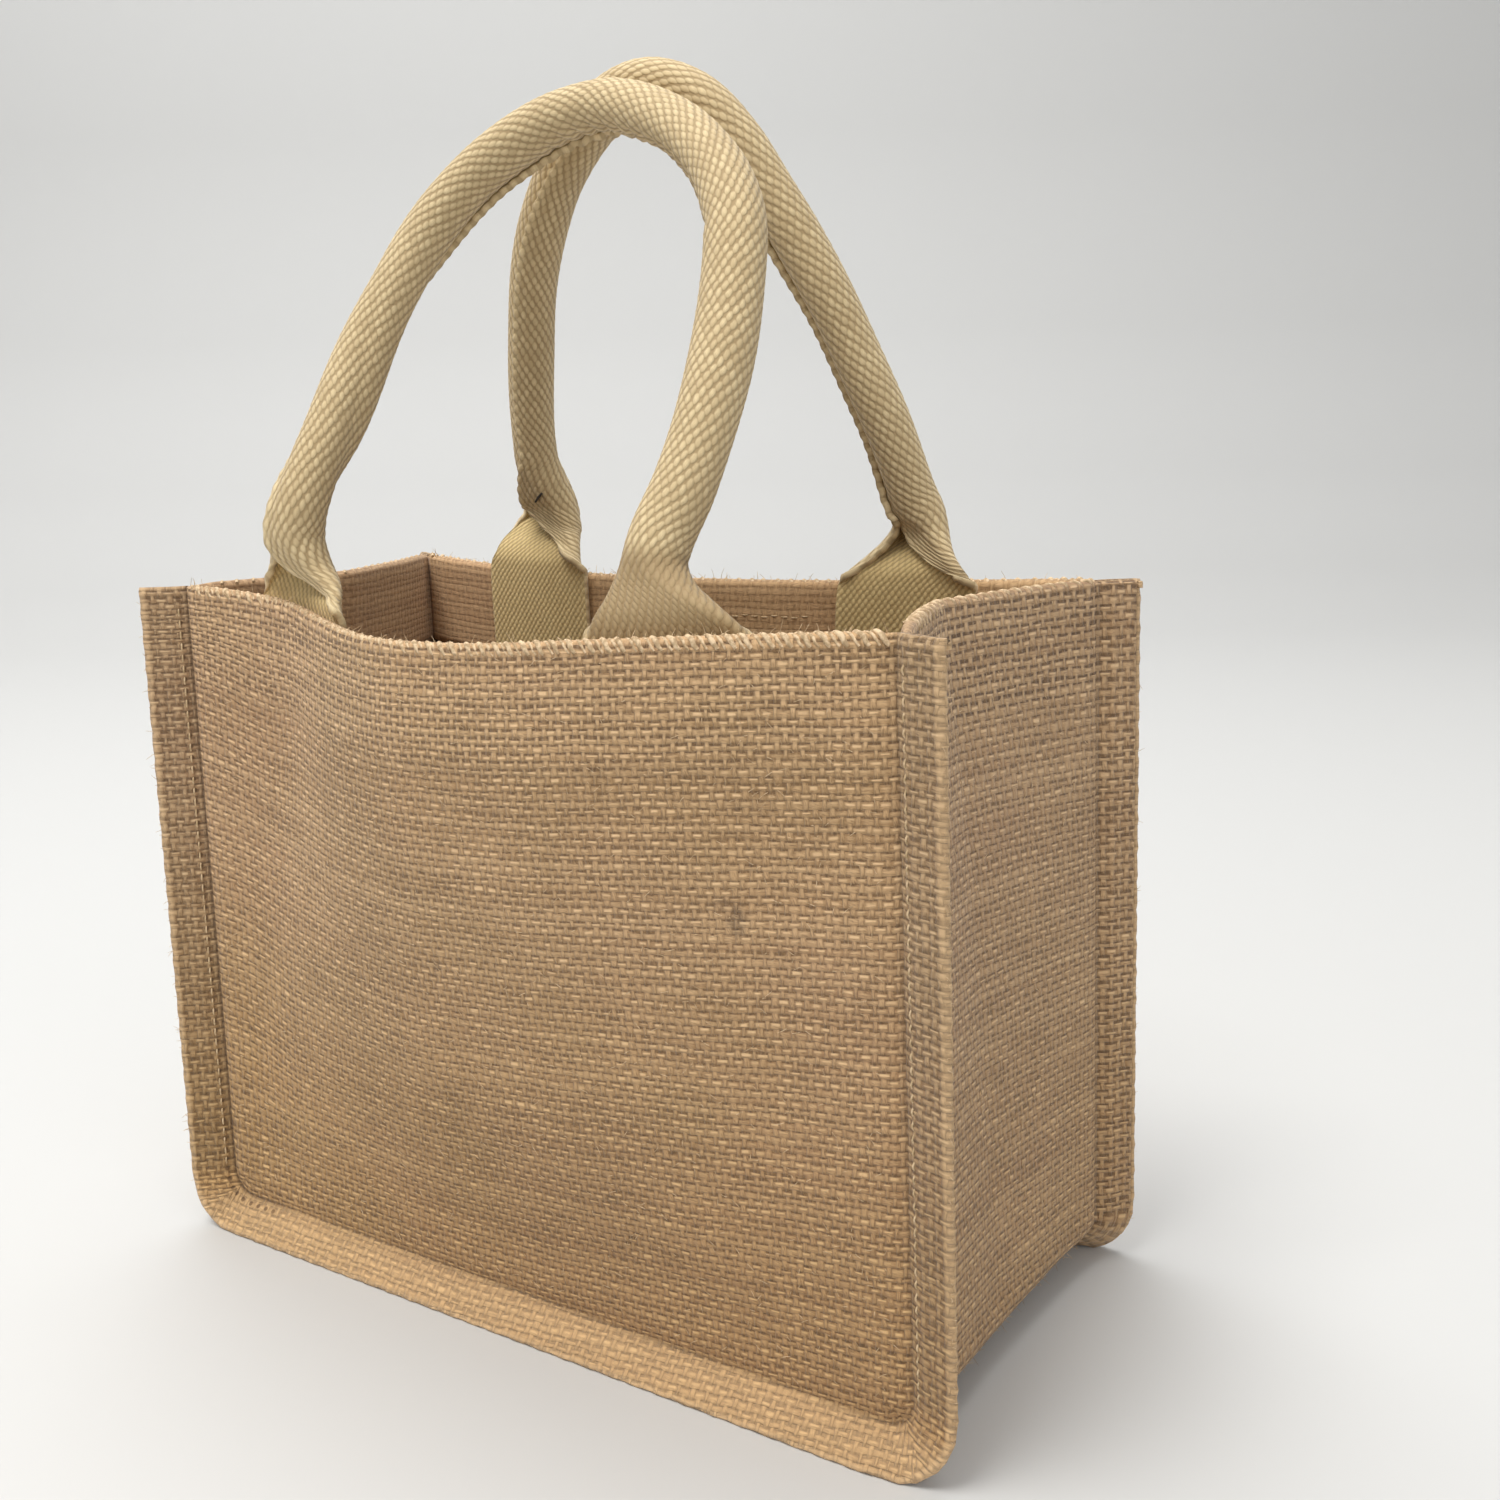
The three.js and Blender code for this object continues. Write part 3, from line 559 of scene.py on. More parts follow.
# %% The stain group
def soft_spot():
    group, t, given, out = new_group(
        "soft_spot",
        [("Yarns", None), ("Across", 0.0), ("Up", 0.0), ("Wide", 10.0), ("High", 10.0), ("Ragged", 0.5)],
        [("Mask", "Float")],
    )
    across, upward = t.split(given["Yarns"])
    x = t.divide(t.minus(across, given["Across"]), given["Wide"])
    y = t.divide(t.minus(upward, given["Up"]), given["High"])
    square = t.plus(t.times(x, x), t.times(y, y))
    rag = t.minus(t.noise(t.vector(t.times(x, 1.7), t.times(y, 1.7)), 1.0, 4.0), 0.5)
    square = t.plus(square, t.times(rag, t.times(given["Ragged"], 4.0)))
    t.put(out["Mask"], t.between(square, 0.1, 1.0, 1.0, 0.0))
    return group


SPOT = soft_spot()
# Where a stain is on the front cloth, in yarns from its lower left corner, its size in yarns and strength.
STAINS = [
    {"across": 62, "up": 21, "wide": 24, "high": 17, "ragged": 0.4, "strength": 0.16},
    {"across": 40, "up": 34, "wide": 22, "high": 28, "ragged": 0.4, "strength": 0.08},
    {"across": 90.6, "up": 59.0, "wide": 1.5, "high": 2.6, "ragged": 0.5, "strength": 0.9},
    {"across": 88.9, "up": 61.1, "wide": 1.5, "high": 1.0, "ragged": 0.5, "strength": 0.6},
    {"across": 69.5, "up": 18.6, "wide": 1.6, "high": 0.8, "ragged": 0.5, "strength": 0.8},
    {"across": 47.7, "up": 49.6, "wide": 1.0, "high": 0.9, "ragged": 0.5, "strength": 0.6},
]
print("stains", len(STAINS))


# %% [markdown]
# ## Jute
#
# The colour is mottled at three sizes: lots of yarn differ, patches of the cloth are redder or greyer,
# and single fibres on the tops of the yarns are painted pale as a highlight. A film is glued behind the
# cloth, so the holes of a single layer are only a little darker than the yarn. Where the cloth is doubled,
# at the hem and in the flanges, the film is cut away and the holes are deep, and their dark is painted
# shade. The three measures that tell the shader where it is, such as how far a point is past the seam, are
# kept on the mesh in millimetres.


# %% The jute materials
STITCH = 3.1
STITCH_LINE = 2.7
# What past_seam says on the inner layer of a hem, far below anything on an outer face.
INSIDE = -200.0
# Where the painted seam shade, the lower tint and the paler foot fade, in metres: across the left seam, up
# the wall, and at the foot.
LEFT_SEAM_FROM, LEFT_SEAM_TO = -0.1, -0.085
LOWER_TINT_FROM, LOWER_TINT_TO = 0.13, 0.02
PALER_BELOW = 0.006


def measure(t, name):
    return t.node("ShaderNodeAttribute", attribute_name=name).outputs["Fac"]


def jute(name, tints, pale, shade, film, depth, doubled_shade, lower_tint, darkened, stains=()):
    """One jute finish. film is the colour behind the holes and depth the bump's height in metres. The
    argument after depth says how dark the painted shade in the holes and slots of doubled cloth is, and the
    next two are tints that the colour is multiplied by: towards the bottom, and on the flanges above the
    foot."""
    paint = bpy.data.materials.new(name)
    paint.use_nodes = True
    t = Tree(paint.node_tree)
    shader = paint.node_tree.nodes["Principled BSDF"]
    place = t.node("ShaderNodeUVMap", uv_map="yarns").outputs["UV"]
    where = t.node("ShaderNodeTexCoord").outputs["Object"]
    past, below, along_it = (measure(t, name) for name in ("past_seam", "below_rim", "along_seam"))
    weave = t.node("ShaderNodeGroup", node_tree=WEAVE)
    t.put(weave.inputs["Yarns"], place)
    made = weave.outputs
    ragged = t.plus(below, t.times(t.minus(t.noise(place, 0.12), 0.5), 3.0))
    in_flange = t.between(past, -0.8, 0.8)
    doubled = t.math("MAXIMUM", in_flange, t.between(ragged, HEM - 0.4, HEM + 0.6, 1.0, 0.0))
    inside = t.between(past, INSIDE + 50.0, INSIDE + 60.0, 1.0, 0.0)
    open_cloth = t.times(doubled, t.between(inside, 0.0, 1.0, 1.0, 0.1, False))

    patch = t.between(t.noise(where, 24.0, 3.0), 0.36, 0.64)
    colour = t.blend(patch, tints[0], tints[1])
    warm = t.between(t.noise(where, 9.0, 2.0), 0.4, 0.62)
    colour = t.blend(t.times(warm, 0.6), colour, tints[2])
    for stain in stains:
        spot = t.node("ShaderNodeGroup", node_tree=SPOT)
        t.put(spot.inputs["Yarns"], place)
        for socket in ("Across", "Up", "Wide", "High", "Ragged"):
            spot.inputs[socket].default_value = stain[socket.lower()]
        colour = t.blend(t.times(spot.outputs["Mask"], stain["strength"]), colour, shade)
    colour = t.blend(t.between(made["Lot"], 0.0, 1.0, 0.0, 0.22, False), colour, pale)
    # The tops of the yarns, most where fibres streak, are painted paler as a highlight.
    crown = t.between(made["Height"], 0.5, 1.5, 0.0, 0.34)
    streak = t.between(made["Streak"], 0.35, 0.7, 0.2, 1.0)
    colour = t.blend(t.times(crown, streak), colour, pale)
    colour = t.blend(t.between(made["Streak"], 0.28, 0.5, 0.5, 0.0), colour, shade)
    # Painted highlight on the upper shoulders of the crosswise floats.
    colour = t.blend(t.times(made["Crest"], t.between(inside, 0.0, 1.0, 0.95, 0.3)), colour, pale)
    # The holes show the film behind a single layer; in doubled cloth the film is blended with painted
    # shade.
    hidden = t.times(t.between(inside, 0.0, 1.0, 1.0, 0.3), t.between(in_flange, 0.0, 1.0, 1.0, 0.55))
    behind = t.blend(t.times(open_cloth, doubled_shade), film, shade)
    colour = t.blend(t.times(made["Hole"], hidden), colour, behind)
    # Painted shade in the pits where an upright yarn dives under a crosswise one.
    pit_shade = t.between(open_cloth, 0.0, 1.0, t.between(inside, 0.0, 1.0, 0.9, 0.25), 0.6)
    colour = t.blend(t.times(made["Pit"], pit_shade), colour, shade)
    # Painted shade in the slots between rows, strong in doubled cloth.
    slot = t.times(made["Slot"], t.between(open_cloth, 0.0, 1.0, 0.08, doubled_shade, False))
    colour = t.blend(slot, colour, shade)
    # Painted highlight on the ticks where an upright yarn faces the light.
    tick = t.times(made["Tick"], t.between(open_cloth, 0.0, 1.0, 0.08, 0.3, False))
    colour = t.blend(tick, colour, pale)

    # Loose fibre lies over the yarns like a thin veil, and hides the weave more in some spots than others.
    veil = t.noise(t.vector(*(t.times(part, 2.6) for part in t.split(place))), 1.0, 4.0, 0.65)
    colour = t.blend(t.between(veil, 0.48, 0.72, 0.0, 0.5), colour, t.blend(0.45, tints[1], pale))
    # The lower part of the cloth is tinted darker and yellower, and the flange is paler at the foot and
    # darker and greyer above it.
    position = t.node("ShaderNodeSeparateXYZ")
    t.put(position.inputs[0], where)
    sideways, upward = position.outputs["X"], position.outputs["Z"]
    colour = t.tint(t.between(upward, LOWER_TINT_FROM, LOWER_TINT_TO), colour, lower_tint)
    paler_foot = t.times(t.between(upward, PALER_BELOW, 0.013, 1.0, 0.0), in_flange)
    colour = t.tint(t.times(in_flange, t.between(upward, 0.012, 0.02)), colour, darkened)
    colour = t.blend(t.times(paler_foot, 0.34), colour, pale)

    # Painted shade in the groove of the seam and in the needle's holes, both strong only on the left, and
    # the flange's rubbed edge.
    on_left = t.between(sideways, LEFT_SEAM_FROM, LEFT_SEAM_TO, 1.0, 0.0)
    off_seam = t.math("ABSOLUTE", past)
    seam_shade = t.times(t.between(off_seam, 0.2, 1.5, 0.62, 0.0), t.between(on_left, 0.0, 1.0, 0.4, 1.0))
    colour = t.blend(seam_shade, colour, shade)
    colour = t.blend(t.between(past, 10.4, 11.6, 0.0, 0.4), colour, pale)
    hole_x = t.minus(t.math("FRACT", t.divide(along_it, STITCH)), 0.5)
    hole_x = t.times(hole_x, STITCH)
    hole_y = t.minus(past, STITCH_LINE)
    hole = t.plus(t.times(hole_x, hole_x), t.times(hole_y, hole_y))
    # The needle's holes are painted dark as shade.
    needle_hole_shade = t.times(t.between(hole, 0.15, 0.7, 0.8, 0.0), t.between(on_left, 0.0, 1.0, 0.12, 1.0))
    colour = t.blend(needle_hole_shade, colour, shade)

    t.put(shader.inputs["Base Color"], colour)
    shader.inputs["Roughness"].default_value = 0.88
    shader.inputs["Sheen Weight"].default_value = 0.12
    shader.inputs["Sheen Roughness"].default_value = 0.6
    bump = t.node("ShaderNodeBump")
    bump.inputs["Strength"].default_value = 1.0
    bump.inputs["Distance"].default_value = depth
    height = t.plus(made["Height"], t.times(made["Streak"], 0.35))
    height = t.minus(height, t.times(slot, 0.5))
    t.put(bump.inputs["Height"], t.times(height, t.between(inside, 0.0, 1.0, 1.0, 0.3)))
    t.put(shader.inputs["Normal"], bump.outputs["Normal"])
    return paint


JUTE = jute(
    "jute",
    tints=[(0.37, 0.218, 0.092, 1), (0.43, 0.252, 0.114, 1), (0.40, 0.222, 0.114, 1)],
    pale=(0.85, 0.58, 0.32, 1),
    shade=(0.12, 0.062, 0.025, 1),
    film=(0.24, 0.136, 0.056, 1),
    depth=0.0004,
    doubled_shade=0.3,
    lower_tint=(0.90, 0.85, 0.70, 1),
    darkened=(0.80, 0.82, 0.85, 1),
    stains=STAINS,
)
SIDE_JUTE = jute(
    "side_jute",
    tints=[(0.34, 0.20, 0.094, 1), (0.385, 0.232, 0.112, 1), (0.365, 0.208, 0.11, 1)],
    pale=(0.74, 0.51, 0.29, 1),
    shade=(0.105, 0.055, 0.024, 1),
    film=(0.21, 0.124, 0.055, 1),
    depth=0.0004,
    doubled_shade=0.6,
    lower_tint=(0.97, 0.94, 0.84, 1),
    darkened=(1.0, 1.0, 1.0, 1),
)
print("materials", JUTE.name, SIDE_JUTE.name)

# %% [markdown]
# ## Sheets of cloth
#
# A piece of cloth starts as a flat grid with one cell for each crossing of two yarns. Each corner of the
# grid is carried to its place, and each edge that is folded or turned is extruded, a row at a time. The
# corners remember what the shader needs: their place in yarns, and the three measures in millimetres.

# %% A sheet under construction
FLANGE_STEPS = 7
HEM_STEPS = 13
ROLL_STEPS = 4
EDGE_ROLL = 0.9
MEASURES = ("past_seam", "along_seam", "below_rim")


class Cloth:
    def __init__(self, columns, rows):
        self.bm = bmesh.new()
        bmesh.ops.create_grid(self.bm, x_segments=columns, y_segments=rows, size=0.5)
        layers = self.bm.verts.layers
        for name in ("yarn_count", "shares", "seat"):
            layers.float_vector.new(name)
        for name in MEASURES:
            layers.float.new(name)
        vectors = layers.float_vector
        self.count, self.shares, self.seat = (vectors[n] for n in ("yarn_count", "shares", "seat"))
        self.past, self.along, self.below = (layers.float[n] for n in MEASURES)

    def border(self, test):
        return [e for e in self.bm.edges if e.is_boundary and all(test(v) for v in e.verts)]

    def grow(self, edges, change):
        """Extrudes edges once, and lets change() move each new corner and correct what it knows."""
        grown = bmesh.ops.extrude_edge_only(self.bm, edges=edges)["geom"]
        fresh = {g for g in grown if isinstance(g, bmesh.types.BMVert)}
        for vert in fresh:
            change(vert)
        return [g for g in grown if isinstance(g, bmesh.types.BMEdge) and all(v in fresh for v in g.verts)]

    def finish(self, name, materials, thickness, node, outside):
        """Thickens the sheet and makes it one of the object's pieces. outside() says which way is out."""
        bm = self.bm
        bmesh.ops.recalc_face_normals(bm, faces=bm.faces[:])
        if outside(bm) < 0:
            bmesh.ops.reverse_faces(bm, faces=bm.faces[:])
        chart = bm.loops.layers.uv.new("yarns")
        count = bm.verts.layers.float_vector["yarn_count"]
        for face in bm.faces:
            face.smooth = True
            for corner in face.loops:
                corner[chart].uv = corner.vert[count].xy
        piece = place_piece(bm, name, materials)
        thicken = piece.modifiers.new("thickness", "SOLIDIFY")
        thicken.thickness = thickness * MM
        thicken.offset = 0.0
        thicken.use_even_offset = False
        thicken.material_offset = len(materials) - 1
        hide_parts(node)
        return piece


def place_piece(bm, name, materials):
    """Turns a bmesh in millimetres into a piece of the bag, in metres."""
    bmesh.ops.transform(bm, matrix=Matrix.Scale(MM, 4) @ Matrix.Translation(PLACE), verts=bm.verts[:])
    mesh = bpy.data.meshes.new(name)
    bm.to_mesh(mesh)
    bm.free()
    for material in materials:
        mesh.materials.append(material)
    piece = bpy.data.objects.new(name, mesh)
    bpy.context.scene.collection.objects.link(piece)
    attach(piece, "root")
    print(name, len(mesh.polygons), "faces")
    return piece


# %% [markdown]
# ## Unevenness
#
# The plain solids are smooth. Real cloth puffs out beside a seam, because the stitches pull the seam in,
# it has a faint step where the hem ends, and it is never quite flat.


# %% Unevenness of a wall
PUFF_HEIGHT = 0.85
PUFF_AT = 4.5


def puff(distance):
    """How far cloth stands out at a distance from a seam that pulls it in."""
    return PUFF_HEIGHT * (distance / PUFF_AT) * math.exp(1 - distance / PUFF_AT)


def ripple(x, y, seed):
    first = math.sin(x / 19 + 1.3 * seed) * math.sin(y / 27 + 2.1 * seed)
    return 0.32 * first + 0.2 * math.sin(x / 8.3 + y / 12 + seed) * math.sin(y / 9.1 - x / 31)


CREASES = [
    {"u": 0.20, "v": 0.93, "across": 0.045, "along": 0.30, "lean": 0.35, "out": -1.1},
    {"u": 0.33, "v": 0.80, "across": 0.07, "along": 0.35, "lean": 0.25, "out": 0.8},
    {"u": 0.10, "v": 0.45, "across": 0.06, "along": 0.35, "lean": 0.1, "out": -0.7},
    {"u": 0.62, "v": 0.28, "across": 0.16, "along": 0.12, "lean": -0.2, "out": 0.9},
    {"u": 0.50, "v": 0.10, "across": 0.30, "along": 0.05, "lean": 0.0, "out": -0.7},
    {"u": 0.86, "v": 0.62, "across": 0.05, "along": 0.30, "lean": -0.1, "out": -0.6},
]


def ease(wall, u, v):
    """Millimetres that the cloth of a wall stands out from the plain surface."""
    width = wall.right["foot"][0] - wall.left["foot"][0]
    tall = RIM - SEAM_FOOT
    edge = min(u, 1 - u) * width
    out = puff(edge) * smooth(v, 0.0, 0.04) + 0.3 * puff(v * tall) * smooth(min(u, 1 - u), 0.0, 0.04)
    calm = smooth(edge, 0.0, 12.0) * smooth(v * tall, 0.0, 12.0)
    loose = ripple(u * width, v * tall, 1.0 if wall.outward < 0 else 2.6)
    if wall.outward < 0:
        for crease in CREASES:
            b = (v - crease["v"]) / crease["along"]
            a = (u - crease["u"] - crease["lean"] * crease["across"] * b * 3) / crease["across"]
            loose += crease["out"] * math.exp(-a * a - b * b)
    # The hem's own layer stiffens the cloth and ends in a faint step.
    below = (1 - v) * tall
    loose *= 1 - 0.75 * smooth(-below, -HEM, -HEM * 0.5)
    step = 0.35 * smooth(-below, -HEM - 2.5, -HEM + 0.5)
    return out + calm * (loose + step)


print("the front cloth's middle is off the plain surface by", round(ease(FRONT, 0.5, 0.5), 2), "mm")

# %% [markdown]
# ## Cutting and hemming a panel
#
# Its three sewn sides are extruded outwards into the flange, whose edge is rolled under, and its top is
# extruded over the rim and down the inside to make the hem.


# %% Counting yarns
def warps_at(u):
    """Upright yarns from the left seam. They lie a little closer together towards the right."""
    return PANEL_WARPS * u * (0.9 + 0.1 * u)


def wefts_at(wall, u, v):
    """Crosswise yarns from the bottom seam. They lie closer near the rim, and on the front they bow."""
    count = PANEL_WEFTS * v * (0.95 + 0.05 * v)
    if wall.outward < 0:
        count -= 5.0 * max(0.0, u - 0.42) / 0.58 * (1 - v**1.5)
        count -= 3.0 * (1 - smooth(u, 0.0, 0.16)) * smooth(v, 0.0, 0.3) * (1 - smooth(v, 0.88, 1.0))
    return count


print("crosswise yarns up to the middle of the front:", round(wefts_at(FRONT, 0.5, 0.5), 1))

# %% Building a panel
# Cloth that the round fold of the hem takes up at the rim.
HEM_ROLL = 3
BACK_FIRST_YARN = 300
# The flange's rolled edge turns by this many degrees a step, and no cloth comes lower than FLOOR_CLEARANCE.
EDGE_TURN = 34
FLOOR_CLEARANCE = 0.6
# The radius of the fold at a flange's top, and the rows that follow it down.
FOLD_RADIUS = 0.62
FOLD_ROW = 1.2


def flange_place(share, p, run, back, reach):
    """A point of a flange. It leaves the seam with a puff, a small one at the bottom, and stops at the
    floor."""
    swell = 0.7 * (1 - 0.7 * smooth(-run.z, 0.2, 0.6))
    place = p + run * reach * share - back * swell * math.sin(math.pi * min(share * 1.25, 1.0)) ** 2
    if place.z < CLOTH / 2 and run.z < 0:
        place -= run * ((place.z - CLOTH / 2) / run.z)
    return place


def panel(wall, name, material, node, first_yarn):
    cloth = Cloth(PANEL_WARPS, PANEL_WEFTS)
    width, tall = wall.right["foot"][0] - wall.left["foot"][0], RIM - SEAM_FOOT
    for vert in cloth.bm.verts:
        u, v = vert.co.x + 0.5, vert.co.y + 0.5
        vert[cloth.shares] = (u, v, 0)
        vert[cloth.count] = (first_yarn + warps_at(u), wefts_at(wall, u, v), 0)
        to_side, to_foot = min(u, 1 - u) * width, v * tall
        vert[cloth.past] = -min(to_side, to_foot)
        vert[cloth.below] = (1 - v) * tall
        vert[cloth.along] = v * tall if to_side < to_foot else u * width
        vert.co = wall.rounded(u, v) + wall.normal(min(max(u, 0.005), 0.995), v) * ease(wall, u, v)

    near = 1e-5

    def sewn_side(vert):
        u, v, _ = vert[cloth.shares]
        return u < near or u > 1 - near or v < near

    def spread(vert):
        u, v, _ = vert[cloth.shares]
        p, out, run, back, low = wall.seam(u, v)
        reach = FLANGE - EDGE_ROLL
        share = min(step / FLANGE_STEPS, 1.0)
        flat = reach * share
        place = flange_place(share, p, run, back, reach)
        if step > FLANGE_STEPS:
            turn = (step - FLANGE_STEPS) * math.radians(EDGE_TURN)
            place += run * EDGE_ROLL * math.sin(turn) + back * EDGE_ROLL * (1 - math.cos(turn))
            flat += EDGE_ROLL * turn
        if wall.outward < 0 and u < 0.5:
            # The front flange is tucked at its lower left corner: a ridge, then a crease.
            ridge = 0.9 * math.exp(-(((low - 0.36) / 0.17) ** 2))
            crease = 0.8 * math.exp(-(((low - 0.66) / 0.1) ** 2))
            place -= back * (ridge - crease) * share
        place.z = max(place.z, FLOOR_CLEARANCE)
        number = u * PANEL_WARPS + v * PANEL_WEFTS
        place -= back * 0.16 * math.cos(math.pi * number) * share
        place += run * 0.12 * math.sin(number * 1.7) * share
        vert.co = place
        vert[cloth.shares] = (u, v, share)
        vert[cloth.past] = flat
        count_x = first_yarn + warps_at(u) + out.x * flat / WARP_PITCH
        vert[cloth.count] = (count_x, wefts_at(wall, u, v) + out.z * flat / WEFT_PITCH, 0)

    sewn = cloth.border(sewn_side)
    sewn = [e for e in sewn if not all(v[cloth.shares].y > 1 - near for v in e.verts)]
    for step in range(1, FLANGE_STEPS + 4):
        sewn = cloth.grow(sewn, spread)

    # The top of each flange is folded over too, a short way.
    flange_top = cloth.border(lambda v: v[cloth.shares].y > 1 - near)
    flange_top = [e for e in flange_top if any(v[cloth.shares].z > 0 for v in e.verts)]
    for vert in {v for e in flange_top for v in e.verts}:
        vert[cloth.seat] = vert.co

    def fold_flange(vert):
        u = 0.0 if vert[cloth.shares].x < 0.5 else 1.0
        back = wall.seam(u, 1.0)[3]
        turn = math.pi * min(step / 3, 1.0)
        upward = FOLD_RADIUS * math.sin(turn) - FOLD_ROW * max(step - 3, 0)
        vert.co = vert[cloth.seat] + back * FOLD_RADIUS * (1 - math.cos(turn)) + Vector((0, 0, upward))
        taken = FOLD_RADIUS * turn if step <= 3 else FOLD_ROW
        vert[cloth.count] += Vector((0, taken / WEFT_PITCH, 0))

    for step in range(1, 5):
        flange_top = cloth.grow(flange_top, fold_flange)

    top = cloth.border(lambda v: v[cloth.shares].y > 1 - near and v[cloth.shares].z == 0)
    top = [e for e in top if (e.verts[0][cloth.shares] - e.verts[1][cloth.shares]).length > near]

    def fold(vert):
        u = vert[cloth.shares].x
        drop = HEM * share / tall if kind == "down" else 0.0
        inward = -wall.normal(min(max(u, 0.01), 0.99), 1 - drop)
        seat = wall.point(u, 1 - drop)
        # The hem is drawn to the wall beside each seam, where the needle goes through it.
        layer = mix(0.9, LAYER, smooth(min(u, 1 - u), 0.0, 0.05))
        turn = math.pi * share if kind == "roll" else math.pi
        out_now = ease(wall, u, 1.0) * (1 + math.cos(turn)) / 2
        place = seat + inward * (layer * (1 - math.cos(turn)) / 2 - out_now)
        place.z += math.sin(turn) * layer / 2 if kind == "roll" else 0.0
        vert.co = place
        depth = HEM * share if kind == "down" else 0.0
        over = LAYER / 2 * math.pi * (share if kind == "roll" else 1.0) + depth
        vert[cloth.count] = (first_yarn + warps_at(u), PANEL_WEFTS + over / WEFT_PITCH, 0)
        vert[cloth.below] = depth
        vert[cloth.past] = INSIDE

    for kind, steps in (("roll", ROLL_STEPS), ("down", HEM_STEPS)):
        for k in range(steps):
            share = (k + 1) / steps
            top = cloth.grow(top, fold)

    def outside(bm):
        bm.faces.ensure_lookup_table()
        middle = min(bm.faces, key=lambda f: (f.calc_center_median() - wall.point(0.5, 0.5)).length)
        return middle.normal.y * wall.outward

    return cloth.finish(name, [material], CLOTH * 0.8, node, outside)


front = panel(FRONT, "front_cloth", JUTE, "front_panel", 0)
back = panel(BACK, "back_cloth", JUTE, "back_panel", BACK_FIRST_YARN)

# %% [markdown]
# ## The gusset
#
# The strip's two long edges follow the panels' seams, a layer inside them. Between the seams it is folded
# inwards along a crease on the sides and hangs a little under the bottom.

# %% Building the gusset
DEPTH_YARNS = 50
GUSSET_DEPTH = 100.0
DEPTH_PITCH = 2.15
GUSSET_FLANGE = FLANGE - 1.2
GUSSET_FIRST_YARN = 400


def seam_route():
    """The shares of the wall that the seam passes: down the left side, along the bottom, up the right."""
    down = [(0.0, 1 - k / PANEL_WEFTS) for k in range(PANEL_WEFTS)]
    under = [(k / PANEL_WARPS, 0.0) for k in range(PANEL_WARPS + 1)]
    up_again = [(1.0, (k + 1) / PANEL_WEFTS) for k in range(PANEL_WEFTS)]
    return down + under + up_again


def fold_shape(t):
    rise = t / CREASE_AT if t < CREASE_AT else (1 - t) / (1 - CREASE_AT)
    return 0.65 * rise + 0.35 * math.sin(math.pi / 2 * rise)


def gusset_point(station, across):
    """A point of the strip. across runs from -1 at the front flange's edge, through 0 at the front seam
    and 1 at the back seam, to 2 at the back flange's edge."""
    (front_p, out, front_run, front_back, low), (back_p, _, back_run, back_back, _), v, on_left = station
    if across <= 0:
        return flange_place(-across, front_p + front_back * LAYER, front_run, -front_back, GUSSET_FLANGE)
    if across >= 1:
        return flange_place(across - 1, back_p + back_back * LAYER, back_run, -back_back, GUSSET_FLANGE)
    start, end = front_p + front_back * LAYER, back_p + back_back * LAYER
    side = along(SIDE_FOLD, "height", "left" if on_left else "right", v)
    inwards = mix(side, -BOTTOM_SAG, low) * fold_shape(across)
    calm = smooth(min(across, 1 - across), 0.0, 0.12)
    seed = 4.2 if on_left else 5.1
    inwards += calm * (1 - low) * ripple(across * 100, v * 180, seed)
    inwards -= puff(min(across, 1 - across) * GUSSET_DEPTH) * 0.8
    return start.lerp(end, across) - out * inwards


STATIONS = [(FRONT.seam(u, v), BACK.seam(u, v), v, u < 0.5) for u, v in seam_route()]


